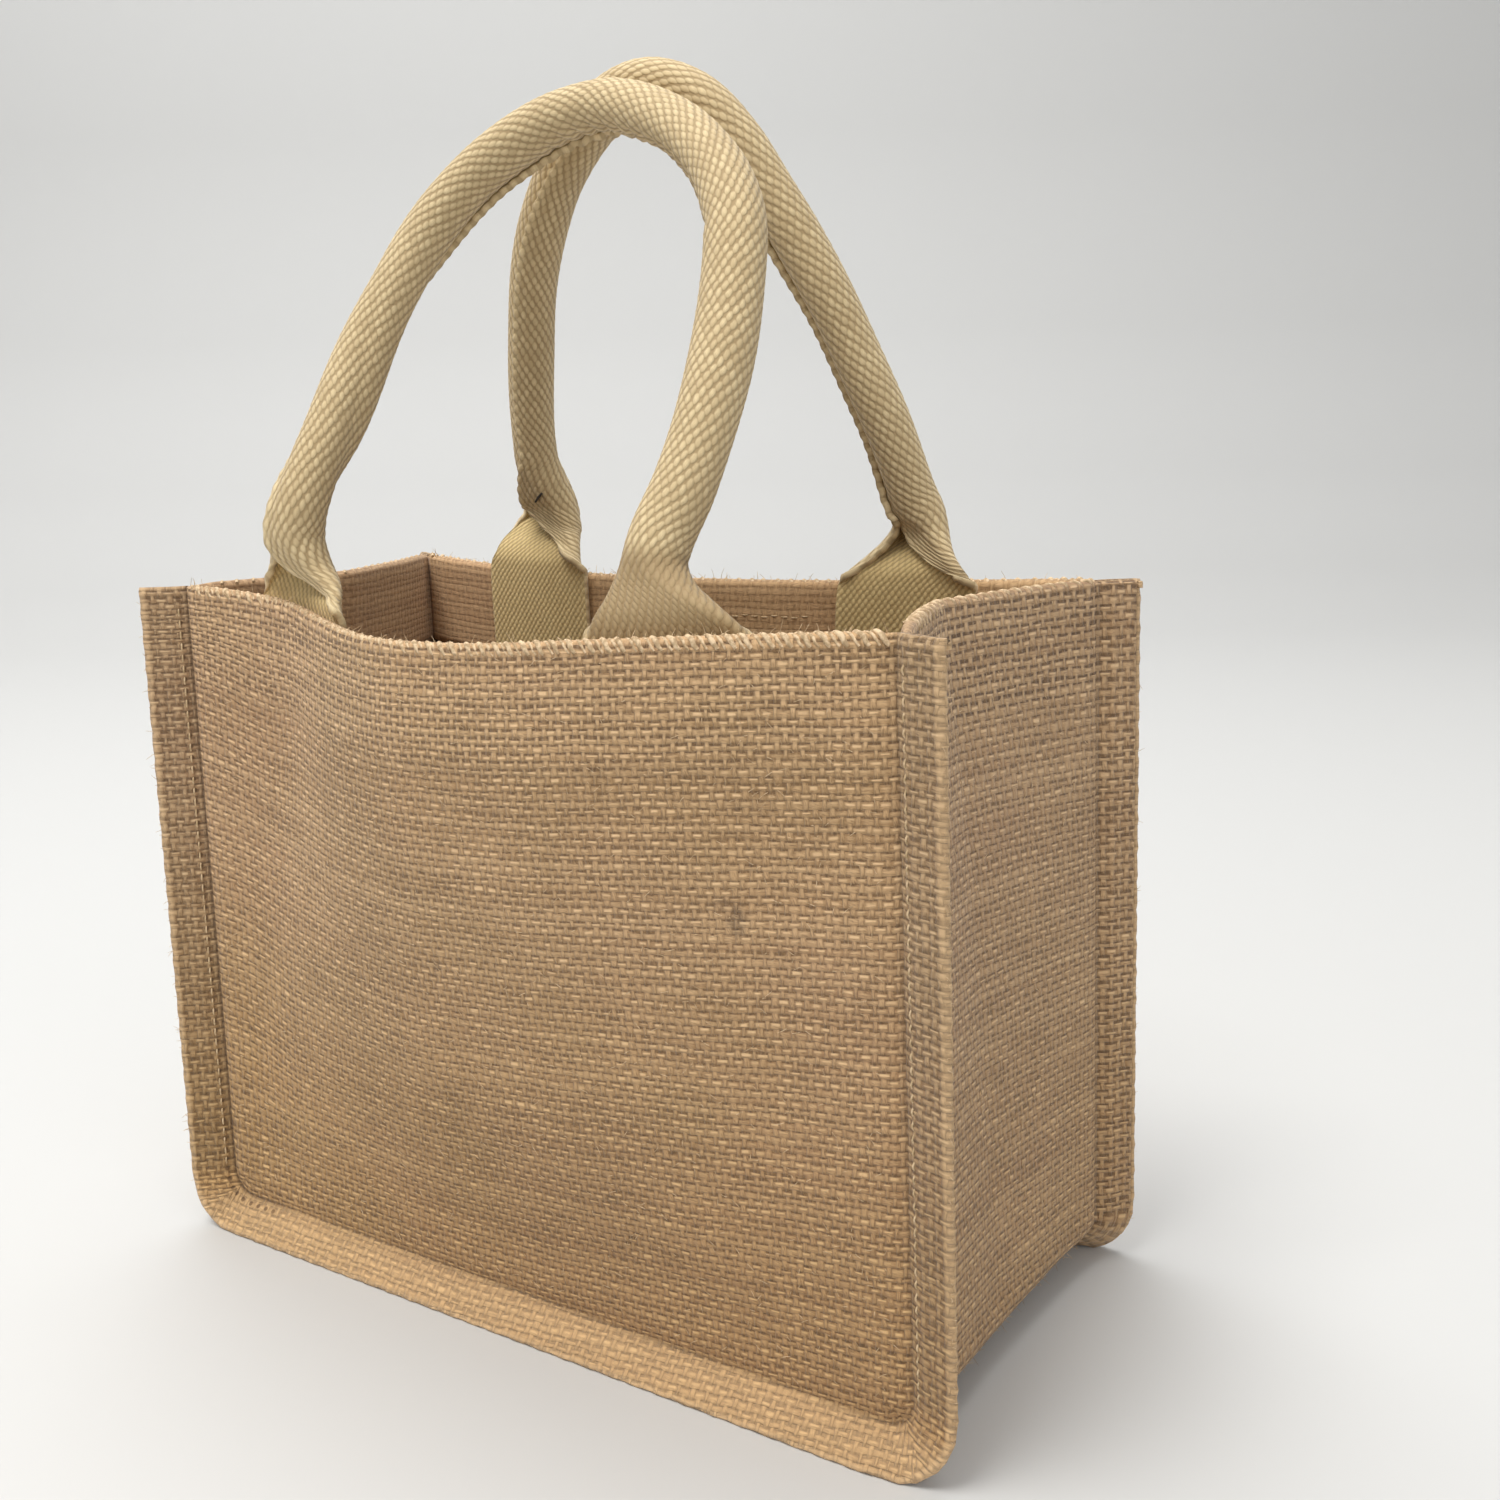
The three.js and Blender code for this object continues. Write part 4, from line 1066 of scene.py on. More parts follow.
def gusset():
    route = seam_route()
    lengths = [0.0]
    for a, b in zip(STATIONS, STATIONS[1:]):
        lengths.append(lengths[-1] + (b[0][0] - a[0][0]).length)
    columns = [-1 + k / FLANGE_STEPS for k in range(FLANGE_STEPS)]
    columns += [k / DEPTH_YARNS for k in range(DEPTH_YARNS + 1)]
    columns += [1 + (k + 1) / FLANGE_STEPS for k in range(FLANGE_STEPS)]
    last = len(route) - 1
    cloth = Cloth(len(columns) - 1, last)
    for vert in cloth.bm.verts:
        across = columns[round((vert.co.x + 0.5) * (len(columns) - 1))]
        row = round((vert.co.y + 0.5) * last)
        beyond = -across if across < 0 else max(across - 1, 0.0)
        if beyond > 0:
            past = beyond * GUSSET_FLANGE
            flat = -past if across < 0 else GUSSET_DEPTH + past
        else:
            past = -min(across, 1 - across) * GUSSET_DEPTH
            flat = across * GUSSET_DEPTH
        vert[cloth.shares] = (across, row, 0)
        u, v = route[row]
        lean = 2.5 * min(max(across, 0.0), 1.0) * smooth(u, 0.5, 1.0) * (1 - smooth(v, 0.7, 1.0))
        count_x = flat / DEPTH_PITCH + GUSSET_FIRST_YARN
        count_y = lengths[row] / WEFT_PITCH + GUSSET_FIRST_YARN + lean
        vert[cloth.count] = (count_x, count_y, 0)
        vert[cloth.past] = past
        vert[cloth.along] = lengths[row]
        vert[cloth.below] = min(lengths[row], lengths[-1] - lengths[row])
        vert.co = gusset_point(STATIONS[row], across)

    def fold(vert):
        across = vert[cloth.shares].x
        middle = min(max(across, 0.0), 1.0)
        down = PANEL_WEFTS * HEM / (RIM - SEAM_FOOT) * share if kind == "down" else 0.0
        row = down if end == 0 else end - down
        below, rest = int(row), row - int(row)
        seat = gusset_point(STATIONS[below], across)
        if rest > 1e-6:
            seat = seat.lerp(gusset_point(STATIONS[below + 1], across), rest)
        inward = -STATIONS[end][0][1]
        if across < 0 or across > 1:
            inward = -STATIONS[end][0 if across < 0 else 1][3]
        layer = mix(0.5, LAYER, smooth(min(middle, 1 - middle), 0.0, 0.08))
        turn = math.pi * share if kind == "roll" else math.pi
        vert.co = seat + inward * layer * (1 - math.cos(turn)) / 2
        vert.co.z += math.sin(turn) * layer / 2 if kind == "roll" else 0.0
        over = LAYER / 2 * math.pi * (share if kind == "roll" else 1.0)
        over += HEM * share if kind == "down" else 0.0
        vert[cloth.count].y = (lengths[end] + (over if end else -over)) / WEFT_PITCH + GUSSET_FIRST_YARN
        vert[cloth.below] = HEM * share if kind == "down" else 0.0
        vert[cloth.past] = INSIDE if 0 <= across <= 1 else vert[cloth.past]

    for end in (0, last):
        top = cloth.border(lambda v: abs(v[cloth.shares].y - end) < 0.1)
        for kind, steps in (("roll", ROLL_STEPS), ("down", HEM_STEPS)):
            for k in range(steps):
                share = (k + 1) / steps
                top = cloth.grow(top, fold)

    def outside(bm):
        low_face = min(bm.faces, key=lambda f: (f.calc_center_median() - Vector((0, 0, 8))).length)
        return -low_face.normal.z

    made = cloth.finish("gusset_cloth", [SIDE_JUTE], CLOTH * 0.8, "gusset", outside)
    return made, lengths[-1] + 2 * (HEM + HEM_ROLL)


side, gusset_length = gusset()
print("the gusset strip is", round(gusset_length), "mm long before it is sewn")

# %% [markdown]
# ## Cotton webbing
#
# The webbing is woven thick, with plump slanted floats that lie like bricks, each row shifted by half a
# float. Its reverse is much finer. Two sets of ovals, one halfway between the other, give the bricks.

# %% The webbing group and materials
FLOAT_ACROSS, FLOAT_ALONG = 1.9, 3.5
# How far a float leans, and half the width and height of its oval as shares of its cell.
FLOAT_LEAN = 0.3
OVAL_WIDE, OVAL_TALL = 0.34, 0.38
SELVEDGE_FROM, SELVEDGE_TO = 17.2, 18.2


def pebbles():
    group, t, given, out = new_group(
        "pebbles",
        [
            ("Cloth", None),
            ("Across", FLOAT_ACROSS),
            ("Along", FLOAT_ALONG),
            ("Slant", FLOAT_LEAN),
            ("Wander", 0.6),
        ],
        [(name, "Float") for name in ("Height", "Lot", "Fibre")],
    )
    across, length = t.split(given["Cloth"])
    wobble = t.times(t.minus(t.noise(given["Cloth"], 0.3, 2.0), 0.5), given["Wander"])
    across = t.plus(across, wobble)
    length = t.plus(length, t.times(wobble, 1.3))
    tops = []
    for half in (0.0, 0.5):
        x = t.plus(t.divide(across, given["Across"]), half)
        y = t.plus(t.divide(length, given["Along"]), half)
        in_x = t.minus(t.math("FRACT", x), 0.5)
        in_y = t.minus(t.math("FRACT", y), 0.5)
        leaning = t.plus(in_x, t.times(in_y, given["Slant"]))
        wide, tall = t.divide(leaning, OVAL_WIDE), t.divide(in_y, OVAL_TALL)
        oval = t.plus(t.times(wide, wide), t.times(tall, tall))
        lot = t.chance(t.vector(t.math("FLOOR", x), t.plus(t.math("FLOOR", y), 60.0 * half)))
        tops.append((t.minus(1.0, oval), lot, leaning, in_y))
    (first, first_lot, lean, in_y), (second, second_lot, lean_2, in_y_2) = tops
    pick = t.math("GREATER_THAN", second, first)
    mixed = []
    for a, b in ((first, second), (first_lot, second_lot), (lean, lean_2), (in_y, in_y_2)):
        choose = t.node("ShaderNodeMix", data_type="FLOAT")
        for k, value in ((0, pick), (2, a), (3, b)):
            t.put(choose.inputs[k], value)
        mixed.append(choose.outputs[0])
    height = t.math("POWER", t.math("MAXIMUM", mixed[0], 0.0), 0.8)
    fibre = t.noise(t.vector(t.times(mixed[2], 16.0), t.times(mixed[3], 3.0), mixed[1]), 1.0, 2.0)
    t.put(out["Height"], height)
    t.put(out["Lot"], mixed[1])
    t.put(out["Fibre"], fibre)
    return group


PEBBLES = pebbles()


def webbing(name, sizes, shades, depth):
    """One webbing finish. On a handle past_seam is the distance from the strip's middle, and along_seam is
    how much painted shade the place gets, from 0 to 1."""
    paint = bpy.data.materials.new(name)
    paint.use_nodes = True
    t = Tree(paint.node_tree)
    shader = paint.node_tree.nodes["Principled BSDF"]
    place = t.node("ShaderNodeUVMap", uv_map="yarns").outputs["UV"]
    where = t.node("ShaderNodeTexCoord").outputs["Object"]
    weave = t.node("ShaderNodeGroup", node_tree=PEBBLES)
    t.put(weave.inputs["Cloth"], place)
    weave.inputs["Across"].default_value, weave.inputs["Along"].default_value = sizes
    made = weave.outputs
    low, high, pale, shade = shades
    colour = t.blend(t.between(t.noise(where, 30.0, 2.0), 0.36, 0.64), low, high)
    # The tops of the floats are painted paler as a highlight.
    light = t.times(made["Height"], t.between(made["Lot"], 0.0, 1.0, 0.25, 0.75, False))
    light = t.times(light, t.between(made["Fibre"], 0.3, 0.7, 0.55, 1.0))
    colour = t.blend(light, colour, pale)
    # The valleys between the floats are painted darker as shade.
    colour = t.blend(t.between(made["Height"], 0.0, 0.6, 0.45, 0.0), colour, shade)
    # The selvedge is painted paler as a highlight.
    selvedge_highlight = t.between(measure(t, "past_seam"), SELVEDGE_FROM, SELVEDGE_TO, 0.0, 0.25)
    # Painted shade on the stretch of the base that tilts away from the light.
    base_shade = t.times(measure(t, "along_seam"), 0.8)
    colour = t.blend(base_shade, colour, shade)
    colour = t.blend(selvedge_highlight, colour, pale)
    t.put(shader.inputs["Base Color"], colour)
    shader.inputs["Roughness"].default_value = 0.8
    shader.inputs["Sheen Weight"].default_value = 0.15
    bump = t.node("ShaderNodeBump")
    bump.inputs["Strength"].default_value = 1.0
    bump.inputs["Distance"].default_value = depth
    t.put(bump.inputs["Height"], t.plus(made["Height"], t.times(made["Fibre"], 0.15)))
    t.put(shader.inputs["Normal"], bump.outputs["Normal"])
    return paint


WEBBING = webbing(
    "webbing",
    sizes=(FLOAT_ACROSS, FLOAT_ALONG),
    shades=[(0.48, 0.35, 0.18, 1), (0.54, 0.40, 0.212, 1), (0.90, 0.735, 0.44, 1), (0.30, 0.20, 0.09, 1)],
    depth=0.00025,
)
WEBBING_BACK = webbing(
    "webbing_back",
    sizes=(1.8, 2.4),
    shades=[(0.56, 0.405, 0.175, 1), (0.64, 0.47, 0.21, 1), (0.86, 0.67, 0.33, 1), (0.30, 0.205, 0.085, 1)],
    depth=0.00022,
)
print("materials", WEBBING.name, WEBBING_BACK.name)

# %% [markdown]
# ## Handles
#
# A handle is one flat strip. Its ends lie flat inside the hem. Above the rim its two sides are folded in,
# over the middle, until they meet round the padding cord. The fold starts at the corners and runs up at a
# slant, so each side is a flap with a diagonal edge. A cross-section is a straight part, two round
# corners and two flaps, and their length always adds up to the width of the strip. Three columns of the
# table, how far the shape reaches to each side and half its thickness, settle all of them.

# %% Handle tables
WEB_WIDTH = 38.0
WEB_THICKNESS = 2.0
GRIP_RADIUS = 6.6
WEB_GAP = 0.5
SEWN = 24.0
FLAT, HALF = WEB_THICKNESS / 2, WEB_WIDTH / 2
# The middle of the folded shape, how far it reaches to its minus and its plus side, half its depth, 1
# where it lies on the hem, and how far the strip has slid round the shape towards its plus side. A row of
# three numbers is a place of the finished tube.
COLUMNS = ("x", "y", "z", "minus", "plus", "thick", "hug", "slide")
FRONT_HANDLE = [
    (-61, -50, 182.5 - SEWN, HALF, HALF, FLAT, 1, 0),
    (-61, -50, 170, HALF, HALF, FLAT, 1, 0),
    (-61, -49, 179.5, HALF, 18.6, FLAT, 1, 0),
    (-61.2, -49, 185, 18.6, 17.2, 1.3, 1, 0.5),
    (-61.6, -49.5, 189, 16.8, 13.6, 2.2, 0.6, 2.0),
    (-62.0, -49.8, 193, 12.2, 9.6, 3.6, 0.2, 3.0),
    (-62.2, -50.3, 197.5, 8.8, 7.6, 5.0, 0, 3.4),
    (-62.3, -50.6, 202, 7.0, 6.8, 6.0, 0, 3.2),
    (-61.3, -49.8, 208.4, 7.1, 7.1, 5.9, 0, 2.4),
    (-59.6, -46.2, 216.5, 7.3, 7.3, 5.7, 0, 1.5),
    (-56.6, -40.3, 228.4, 7.3, 7.3, 5.7, 0, 0),
    (-53.0, -30.3, 249.3, 7.1, 7.1, 5.9, 0, 0),
    (-48.7, -23.6, 262.8, 6.8, 6.8, 6.3, 0, 0),
    (-41.7, -16.4, 277.1),
    (-31.8, -10.7, 288.6),
    (-19.6, -7.4, 296.1),
    (-7, -5.6, 300.4),
    (8, -5.4, 301.1),
    (26.5, -8.4, 294.4),
    (39.8, -12.9, 284.6),
    (47.7, -17.8, 274.4),
    (51.4, -22.7, 264.6),
    (54, -31.4, 246.1),
    (54.4, -39.6, 229.9),
    (52.6, -46.9, 214.6),
    (49.9, -52.5, 203.5),
    (49.8, -55.5, 197.5, 7.2, 7.4, 6, 0, 0),
    (51.8, -58.5, 194, 9.2, 10.2, 4, 0.15, 0),
    (54.8, -61.0, 191, 12.4, 13.2, 2.8, 0.4, 0),
    (57.0, -63.2, 188, 15.6, 15.8, 1.8, 0.8, 0),
    (58.0, -64.4, 185.6, 17.6, 17.2, 1.2, 1, 0),
    (58.4, -65, 182, 18.8, 18.6, FLAT, 1, 0),
    (58.8, -65, 173, HALF, HALF, FLAT, 1, 0),
    (59, -65, 183 - SEWN, HALF, HALF, FLAT, 1, 0),
]
BACK_HANDLE = [
    (-58, 40, 184 - SEWN, HALF, HALF, FLAT, 1, 0),
    (-58, 40, 173, HALF, HALF, FLAT, 1, 0),
    (-57.9, 39, 182.5, HALF, HALF, FLAT, 1, 0),
    (-58.0, 39, 187, 17.8, 18.4, 1.2, 1, -0.8),
    (-58.6, 40, 191, 16.8, 17.0, 1.9, 0.6, -3.0),
    (-58.6, 41.5, 195, 15.0, 14.8, 2.6, 0.25, -5.4),
    (-57.0, 42.4, 199, 11.9, 11.4, 3.4, 0, -7.8),
    (-56.2, 42.2, 204, 9.4, 9.0, 4.2, 0, -8.2),
    (-56.2, 40.0, 210, 7.8, 7.6, 5.4, 0, -5.6),
    (-56.1, 36.2, 220),
    (-53.6, 32.5, 232.4),
    (-49.0, 27.9, 247.8),
    (-42.4, 22.4, 266.1),
    (-34.6, 18.2, 280),
    (-24, 14.5, 292.9),
    (-9, 11.4, 304.4),
    (6, 10.4, 308.4),
    (19.5, 11.6, 303.8),
    (29.4, 14.4, 293.6),
    (36.8, 17.9, 281.1),
    (43, 21.4, 269.3),
    (49.6, 25.7, 255),
    (55.2, 30.3, 239.7),
    (60.3, 35.2, 224.3),
    (64, 40.2, 208.5),
    (65.8, 42, 203, 7.0, 7.0, 6, 0, 1.0),
    (66.4, 42.4, 199, 8.6, 7.9, 4.6, 0, 2.0),
    (66.2, 42, 195, 11.2, 9.8, 3.2, 0.2, 2.0),
    (65.4, 41, 191, 14.2, 13.0, 2.2, 0.6, 1.2),
    (64.5, 40, 187.4, 17.2, 16.6, 1.4, 1, 0.4),
    (63.8, 40, 183.5, 18.8, 18.9, FLAT, 1, 0),
    (63, 40, 173, HALF, HALF, FLAT, 1, 0),
    (62.5, 40, 185 - SEWN, HALF, HALF, FLAT, 1, 0),
]


def with_lengths(table):
    """The table as rows with named columns, and how far along the handle each row is."""
    rows = [dict(zip(COLUMNS, row if len(row) > 3 else (*row, *[GRIP_RADIUS] * 3, 0, 0))) for row in table]
    rows[0]["at"] = 0.0
    for a, b in zip(rows, rows[1:]):
        b["at"] = a["at"] + math.dist([a[k] for k in "xyz"], [b[k] for k in "xyz"])
    return rows


print("rows of the two handles", len(FRONT_HANDLE), len(BACK_HANDLE))

# %% Building a handle
STRIP_CELLS = 76
STEP_ALONG = FLOAT_ALONG / 4
WEB_SHEET = 1.7
LAP = 0.5
LEVEL_FROM, LEVEL_TO = 205.0, 194.0
# The least and most radius of a folded corner, and where the webbing's own map starts.
LEAST_RADIUS, MOST_RADIUS = 0.8, 5.65
MAP_START = 60
# How high a float stands in the mesh, where the cord in the strip's edge lies, and how soon the painted
# shade on the base fades in and out.
FLOAT_HEIGHT = 0.17
CORD_FROM, CORD_TO = 17.4, 18.4
SHADE_IN, SHADE_OUT = 0.012, 0.01


def hem_face(wall, x, z):
    """y of the hem's inner face at x and z."""
    u, v = 0.5, 1.0
    for _ in range(4):
        v = min(1.0, (z - SEAM_FOOT) / (RIM - wall.dip(u) - SEAM_FOOT))
        left = mix(wall.left["foot"][0], wall.left["rim"][0], v)
        u = (x - left) / (mix(wall.right["foot"][0], wall.right["rim"][0], v) - left)
    here, beside = wall.point(u, v), wall.point(u + 0.01, v)
    slope = (beside.y - here.y) / (beside.x - here.x)
    return here.y - wall.outward * (CLOTH / 2 + LAYER) * math.hypot(1, slope)


def section(place, half, thick, lap):
    """Where a point of the strip lies in its cross-section: across, and in from the outer face."""
    folded = HALF - half
    radius = min(max(thick - WEB_SHEET / 2, LEAST_RADIUS), MOST_RADIUS) + lap * smooth(folded, 2.0, 8.0)
    straight = max(half - radius - WEB_SHEET / 2, 0.0)
    turn = math.pi * smooth(folded, 0.2, 3.0)
    at = abs(place)
    if at <= straight:
        wide, deep = at, 0.0
    elif at <= straight + radius * turn:
        angle = (at - straight) / radius
        wide, deep = straight + radius * math.sin(angle), radius * (1 - math.cos(angle))
    else:
        flap = at - straight - radius * turn
        wide = straight + radius * math.sin(turn) + flap * math.cos(turn)
        deep = radius * (1 - math.cos(turn)) + flap * math.sin(turn)
    return (wide if place > 0 else -wide), deep


def pebble_height(across, length):
    """The same bricks as the material draws, for the few points that the mesh has."""
    best = 0.0
    for half in (0.0, 0.5):
        in_x = (across / FLOAT_ACROSS + half) % 1 - 0.5
        in_y = (length / FLOAT_ALONG + half) % 1 - 0.5
        best = max(best, 1 - ((in_x + FLOAT_LEAN * in_y) / OVAL_WIDE) ** 2 - (in_y / OVAL_TALL) ** 2)
    return best


def handle(table, wall, name, node, turns, wrinkles, upper, darkened=()):
    """upper is the side of the strip, 1 or -1, whose edge lies on top where the two edges meet. The last
    argument is the stretch, in shares of the length, that is painted darker as shade where the base tilts
    away from the light."""
    rows = with_lengths(table)
    length = rows[-1]["at"]
    steps = round(length / STEP_ALONG)
    seam_way = -wall.outward

    def middle(at):
        return Vector([along(rows, "at", k, at) for k in "xyz"])

    cloth = Cloth(STRIP_CELLS, steps)
    sections = []
    for k in range(steps + 1):
        at = length * k / steps
        centre = middle(at)
        ahead = (middle(min(at + 0.5, length)) - middle(max(at - 0.5, 0.0))).normalized()
        across = ahead.cross(Vector((0, 1, 0))).normalized()
        through = across.cross(ahead).normalized()
        # Near the rim the sections lie level, so the folded edges run straight up from the hem.
        level = smooth(-centre.z, -LEVEL_FROM, -LEVEL_TO)
        across = across.lerp(Vector((-1 if ahead.z > 0 else 1, 0, 0)), level).normalized()
        through = through.lerp(Vector((0, 1, 0)), level).normalized()
        shape = {k: along(rows, "at", k, at) for k in ("minus", "plus", "thick", "hug", "slide")}
        shape["hug"] = min(1.0, max(0.0, shape["hug"]))
        twist = math.radians(along(turns, "at", "turn", at / length))
        sections.append((at, centre, across, through, shape, twist))
    for vert in cloth.bm.verts:
        side = (vert.co.x + 0.5) * 2 - 1
        at, centre, across, through, shape, twist = sections[round((vert.co.y + 0.5) * steps)]
        thick, hug = shape["thick"], shape["hug"]
        place = side * HALF + shape["slide"]
        half = shape["plus" if place > 0 else "minus"]
        wide, deep = section(place, half, thick, LAP if side * upper > 0 else -LAP)
        deep -= thick - FLAT
        # A padded tube is never perfectly round or even.
        swell = 1 + 0.02 * math.sin(at / 17 + wall.outward) + 0.015 * math.sin(at / 6.1)
        round_part = 1 - hug
        wide, deep = wide * mix(1, swell, round_part), deep * mix(1, swell, round_part)
        facing = math.atan2(deep, wide) + twist
        crinkle = 0.0
        for wrinkle in wrinkles:
            window = math.exp(-(((at / length - wrinkle["at"]) / wrinkle["long"]) ** 2))
            inner = max(0.0, math.cos(facing - math.radians(wrinkle["side"])))
            wave = 0.5 + 0.5 * math.sin(at * 2 * math.pi / wrinkle["pitch"])
            crinkle += wrinkle["deep"] * window * inner**2 * wave
        bump = FLOAT_HEIGHT * pebble_height(side * HALF + MAP_START, at) - crinkle
        cord = smooth(abs(side) * HALF, CORD_FROM, CORD_TO)
        bump += cord * (0.2 + 0.2 * math.cos(at * 2 * math.pi / FLOAT_ALONG))
        reach = math.hypot(wide, deep)
        if reach > 0.1:
            wide, deep = wide * (1 + bump / reach * round_part), deep * (1 + bump / reach * round_part)
        wide, deep = (
            wide * math.cos(twist) - deep * math.sin(twist),
            wide * math.sin(twist) + deep * math.cos(twist),
        )
        p = centre + across * wide + through * deep * seam_way
        laid = hem_face(wall, p.x, p.z) + seam_way * (WEB_GAP + thick + deep)
        p.y = mix(p.y, laid, hug)
        vert.co = p
        vert[cloth.count] = (side * HALF + MAP_START, at, 0)
        vert[cloth.past] = abs(side) * HALF
        vert[cloth.below] = 100
        vert[cloth.along] = 0.0
        if darkened:
            share = at / length
            faded = 1 - smooth(share, darkened[1], darkened[1] + SHADE_OUT)
            vert[cloth.along] = smooth(share, darkened[0], darkened[0] + SHADE_IN) * faded

    def outside(bm):
        apex = max(bm.faces, key=lambda f: f.calc_center_median().z)
        return apex.normal.z

    made = cloth.finish(name, [WEBBING, WEBBING_BACK], WEB_SHEET, node, outside)
    return made, length


# How far the joined edges have turned about the tube, in degrees, along the handle.
FRONT_TURNS = [
    {"at": 0.0, "turn": -180},
    {"at": 0.11, "turn": -180},
    {"at": 0.14, "turn": -160},
    {"at": 0.2, "turn": -85},
    {"at": 0.27, "turn": -25},
    {"at": 0.35, "turn": 35},
    {"at": 0.42, "turn": 58},
    {"at": 0.5, "turn": 60},
    {"at": 0.6, "turn": 40},
    {"at": 0.7, "turn": 10},
    {"at": 0.78, "turn": 0},
    {"at": 1.0, "turn": 0},
]
BACK_TURNS = [
    {"at": 0.0, "turn": 0},
    {"at": 0.35, "turn": 4},
    {"at": 0.55, "turn": 50},
    {"at": 0.7, "turn": 80},
    {"at": 0.84, "turn": 75},
    {"at": 0.9, "turn": 20},
    {"at": 0.93, "turn": 0},
    {"at": 1.0, "turn": 0},
]
FRONT_WRINKLES = [
    {"at": 0.585, "long": 0.05, "side": 180, "deep": 1.9, "pitch": 4.6},
    {"at": 0.50, "long": 0.05, "side": 180, "deep": 1.5, "pitch": 5.2},
    {"at": 0.66, "long": 0.012, "side": 180, "deep": 1.2, "pitch": 9.0},
]
BACK_WRINKLES = [{"at": 0.52, "long": 0.06, "side": 180, "deep": 0.7, "pitch": 5.0}]
# The stretch of the front handle's right base that is painted darker as shade, in shares of its length.
FRONT_SHADED = (0.868, 0.93)
front_handle, front_length = handle(
    FRONT_HANDLE,
    FRONT,
    "front_handle_webbing",
    "handle_front",
    turns=FRONT_TURNS,
    wrinkles=FRONT_WRINKLES,
    upper=1,
    darkened=FRONT_SHADED,
)
back_handle, back_length = handle(
    BACK_HANDLE,
    BACK,
    "back_handle_webbing",
    "handle_back",
    turns=BACK_TURNS,
    wrinkles=BACK_WRINKLES,
    upper=-1,
)
print("webbing lengths", round(front_length), round(back_length))

# %% [markdown]
# ## Thread and loose fibre
#
# Stitches, the yarns that pass over the rim, and the hairs that stand off jute are all short strands. They
# are drawn as one curve object with many short splines, which is then made a mesh.


# %% Many short strands in one piece
def strands(name, runs, material, sides=1):
    """runs is a list of (points in millimetres, radius in millimetres at each point)."""
    curve = bpy.data.curves.new(name, "CURVE")
    curve.dimensions = "3D"
    curve.bevel_depth = 1.0
    curve.bevel_resolution = sides
    curve.use_fill_caps = True
    for points, radii in runs:
        spline = curve.splines.new("POLY")
        spline.points.add(len(points) - 1)
        for knot, point, radius in zip(spline.points, points, radii):
            knot.co = (*((point + PLACE) * MM), 1)
            knot.radius = radius * MM
    carrier = bpy.data.objects.new(name + "_curve", curve)
    bpy.context.scene.collection.objects.link(carrier)
    mesh = bpy.data.meshes.new_from_object(carrier.evaluated_get(bpy.context.evaluated_depsgraph_get()))
    bpy.data.objects.remove(carrier)
    bpy.data.curves.remove(curve)
    mesh.name = name
    mesh.materials.clear()
    mesh.materials.append(material)
    for polygon in mesh.polygons:
        polygon.use_smooth = True
    piece = bpy.data.objects.new(name, mesh)
    bpy.context.scene.collection.objects.link(piece)
    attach(piece, "root")
    print(name, len(runs), "strands,", len(mesh.polygons), "faces")
    return piece


def yarn_paint(name, low, high):
    """Plain twisted yarn: two tones in fine slanted streaks."""
    paint = bpy.data.materials.new(name)
    paint.use_nodes = True
    t = Tree(paint.node_tree)
    shader = paint.node_tree.nodes["Principled BSDF"]
    where = t.node("ShaderNodeTexCoord").outputs["Object"]
    streak = t.noise(where, 900.0, 2.0)
    colour = t.blend(t.between(streak, 0.35, 0.65), low, high)
    t.put(shader.inputs["Base Color"], colour)
    shader.inputs["Roughness"].default_value = 0.85
    bump = t.node("ShaderNodeBump")
    bump.inputs["Strength"].default_value = 0.6
    bump.inputs["Distance"].default_value = 0.0002
    t.put(bump.inputs["Height"], streak)
    t.put(shader.inputs["Normal"], bump.outputs["Normal"])
    return paint


LOOSE_YARN = yarn_paint("loose_yarn", (0.42, 0.29, 0.16, 1), (0.72, 0.54, 0.34, 1))
THREAD = yarn_paint("thread", (0.50, 0.36, 0.20, 1), (0.70, 0.53, 0.33, 1))
chance = random.Random(7)

# %% [markdown]
# Where jute is folded over at the mouth, its upright yarns show as a row of slanted loops. They are too
# coarse for a bump, so each is a short strand of its own that goes over the fold.


# %% Yarns over the rim
THICK_LOOP, THIN_LOOP = 0.72, 0.42


def loop_over(rim, outward, aside, slant, thick=0.62):
    """One short slanted strand over a folded edge: it starts on the outer face and ends behind the fold."""
    points, radii = [], []
    for step in range(7):
        share = step / 6
        turn = math.pi * mix(-0.1, 0.8, share)
        low = -1.2 * (1 - share * 3) if share < 0.34 else 0.0
        place = rim - outward * LAYER * (1 - math.cos(max(turn, 0.0))) / 2
        place += outward * 0.3 * math.cos(max(turn, 0.0))
        place.z += math.sin(max(turn, 0.0)) * LAYER / 2 + 0.3 + low
        place += aside * (slant * (0.5 - share) + chance.uniform(-0.15, 0.15))
        points.append(place)
        radii.append(thick * (0.62 + 0.38 * math.sin(math.pi * share) + chance.uniform(-0.08, 0.08)))
    return points, radii


def over_rim(wall, first, last, slant):
    """A thick loop for every second upright yarn of a panel and a thin one between, so they close up."""
    runs = []
    for k in range(PANEL_WARPS):
        u = (k + 0.5 + chance.uniform(-0.22, 0.22)) / PANEL_WARPS
        if not first <= u <= last:
            continue
        outward = wall.normal(u, 1.0)
        rim = wall.point(u, 1.0) + outward * ease(wall, u, 1.0)
        thick = THIN_LOOP if k % 2 else THICK_LOOP
        runs.append(loop_over(rim, outward, Vector((1, 0, 0)), slant, thick))
    return runs


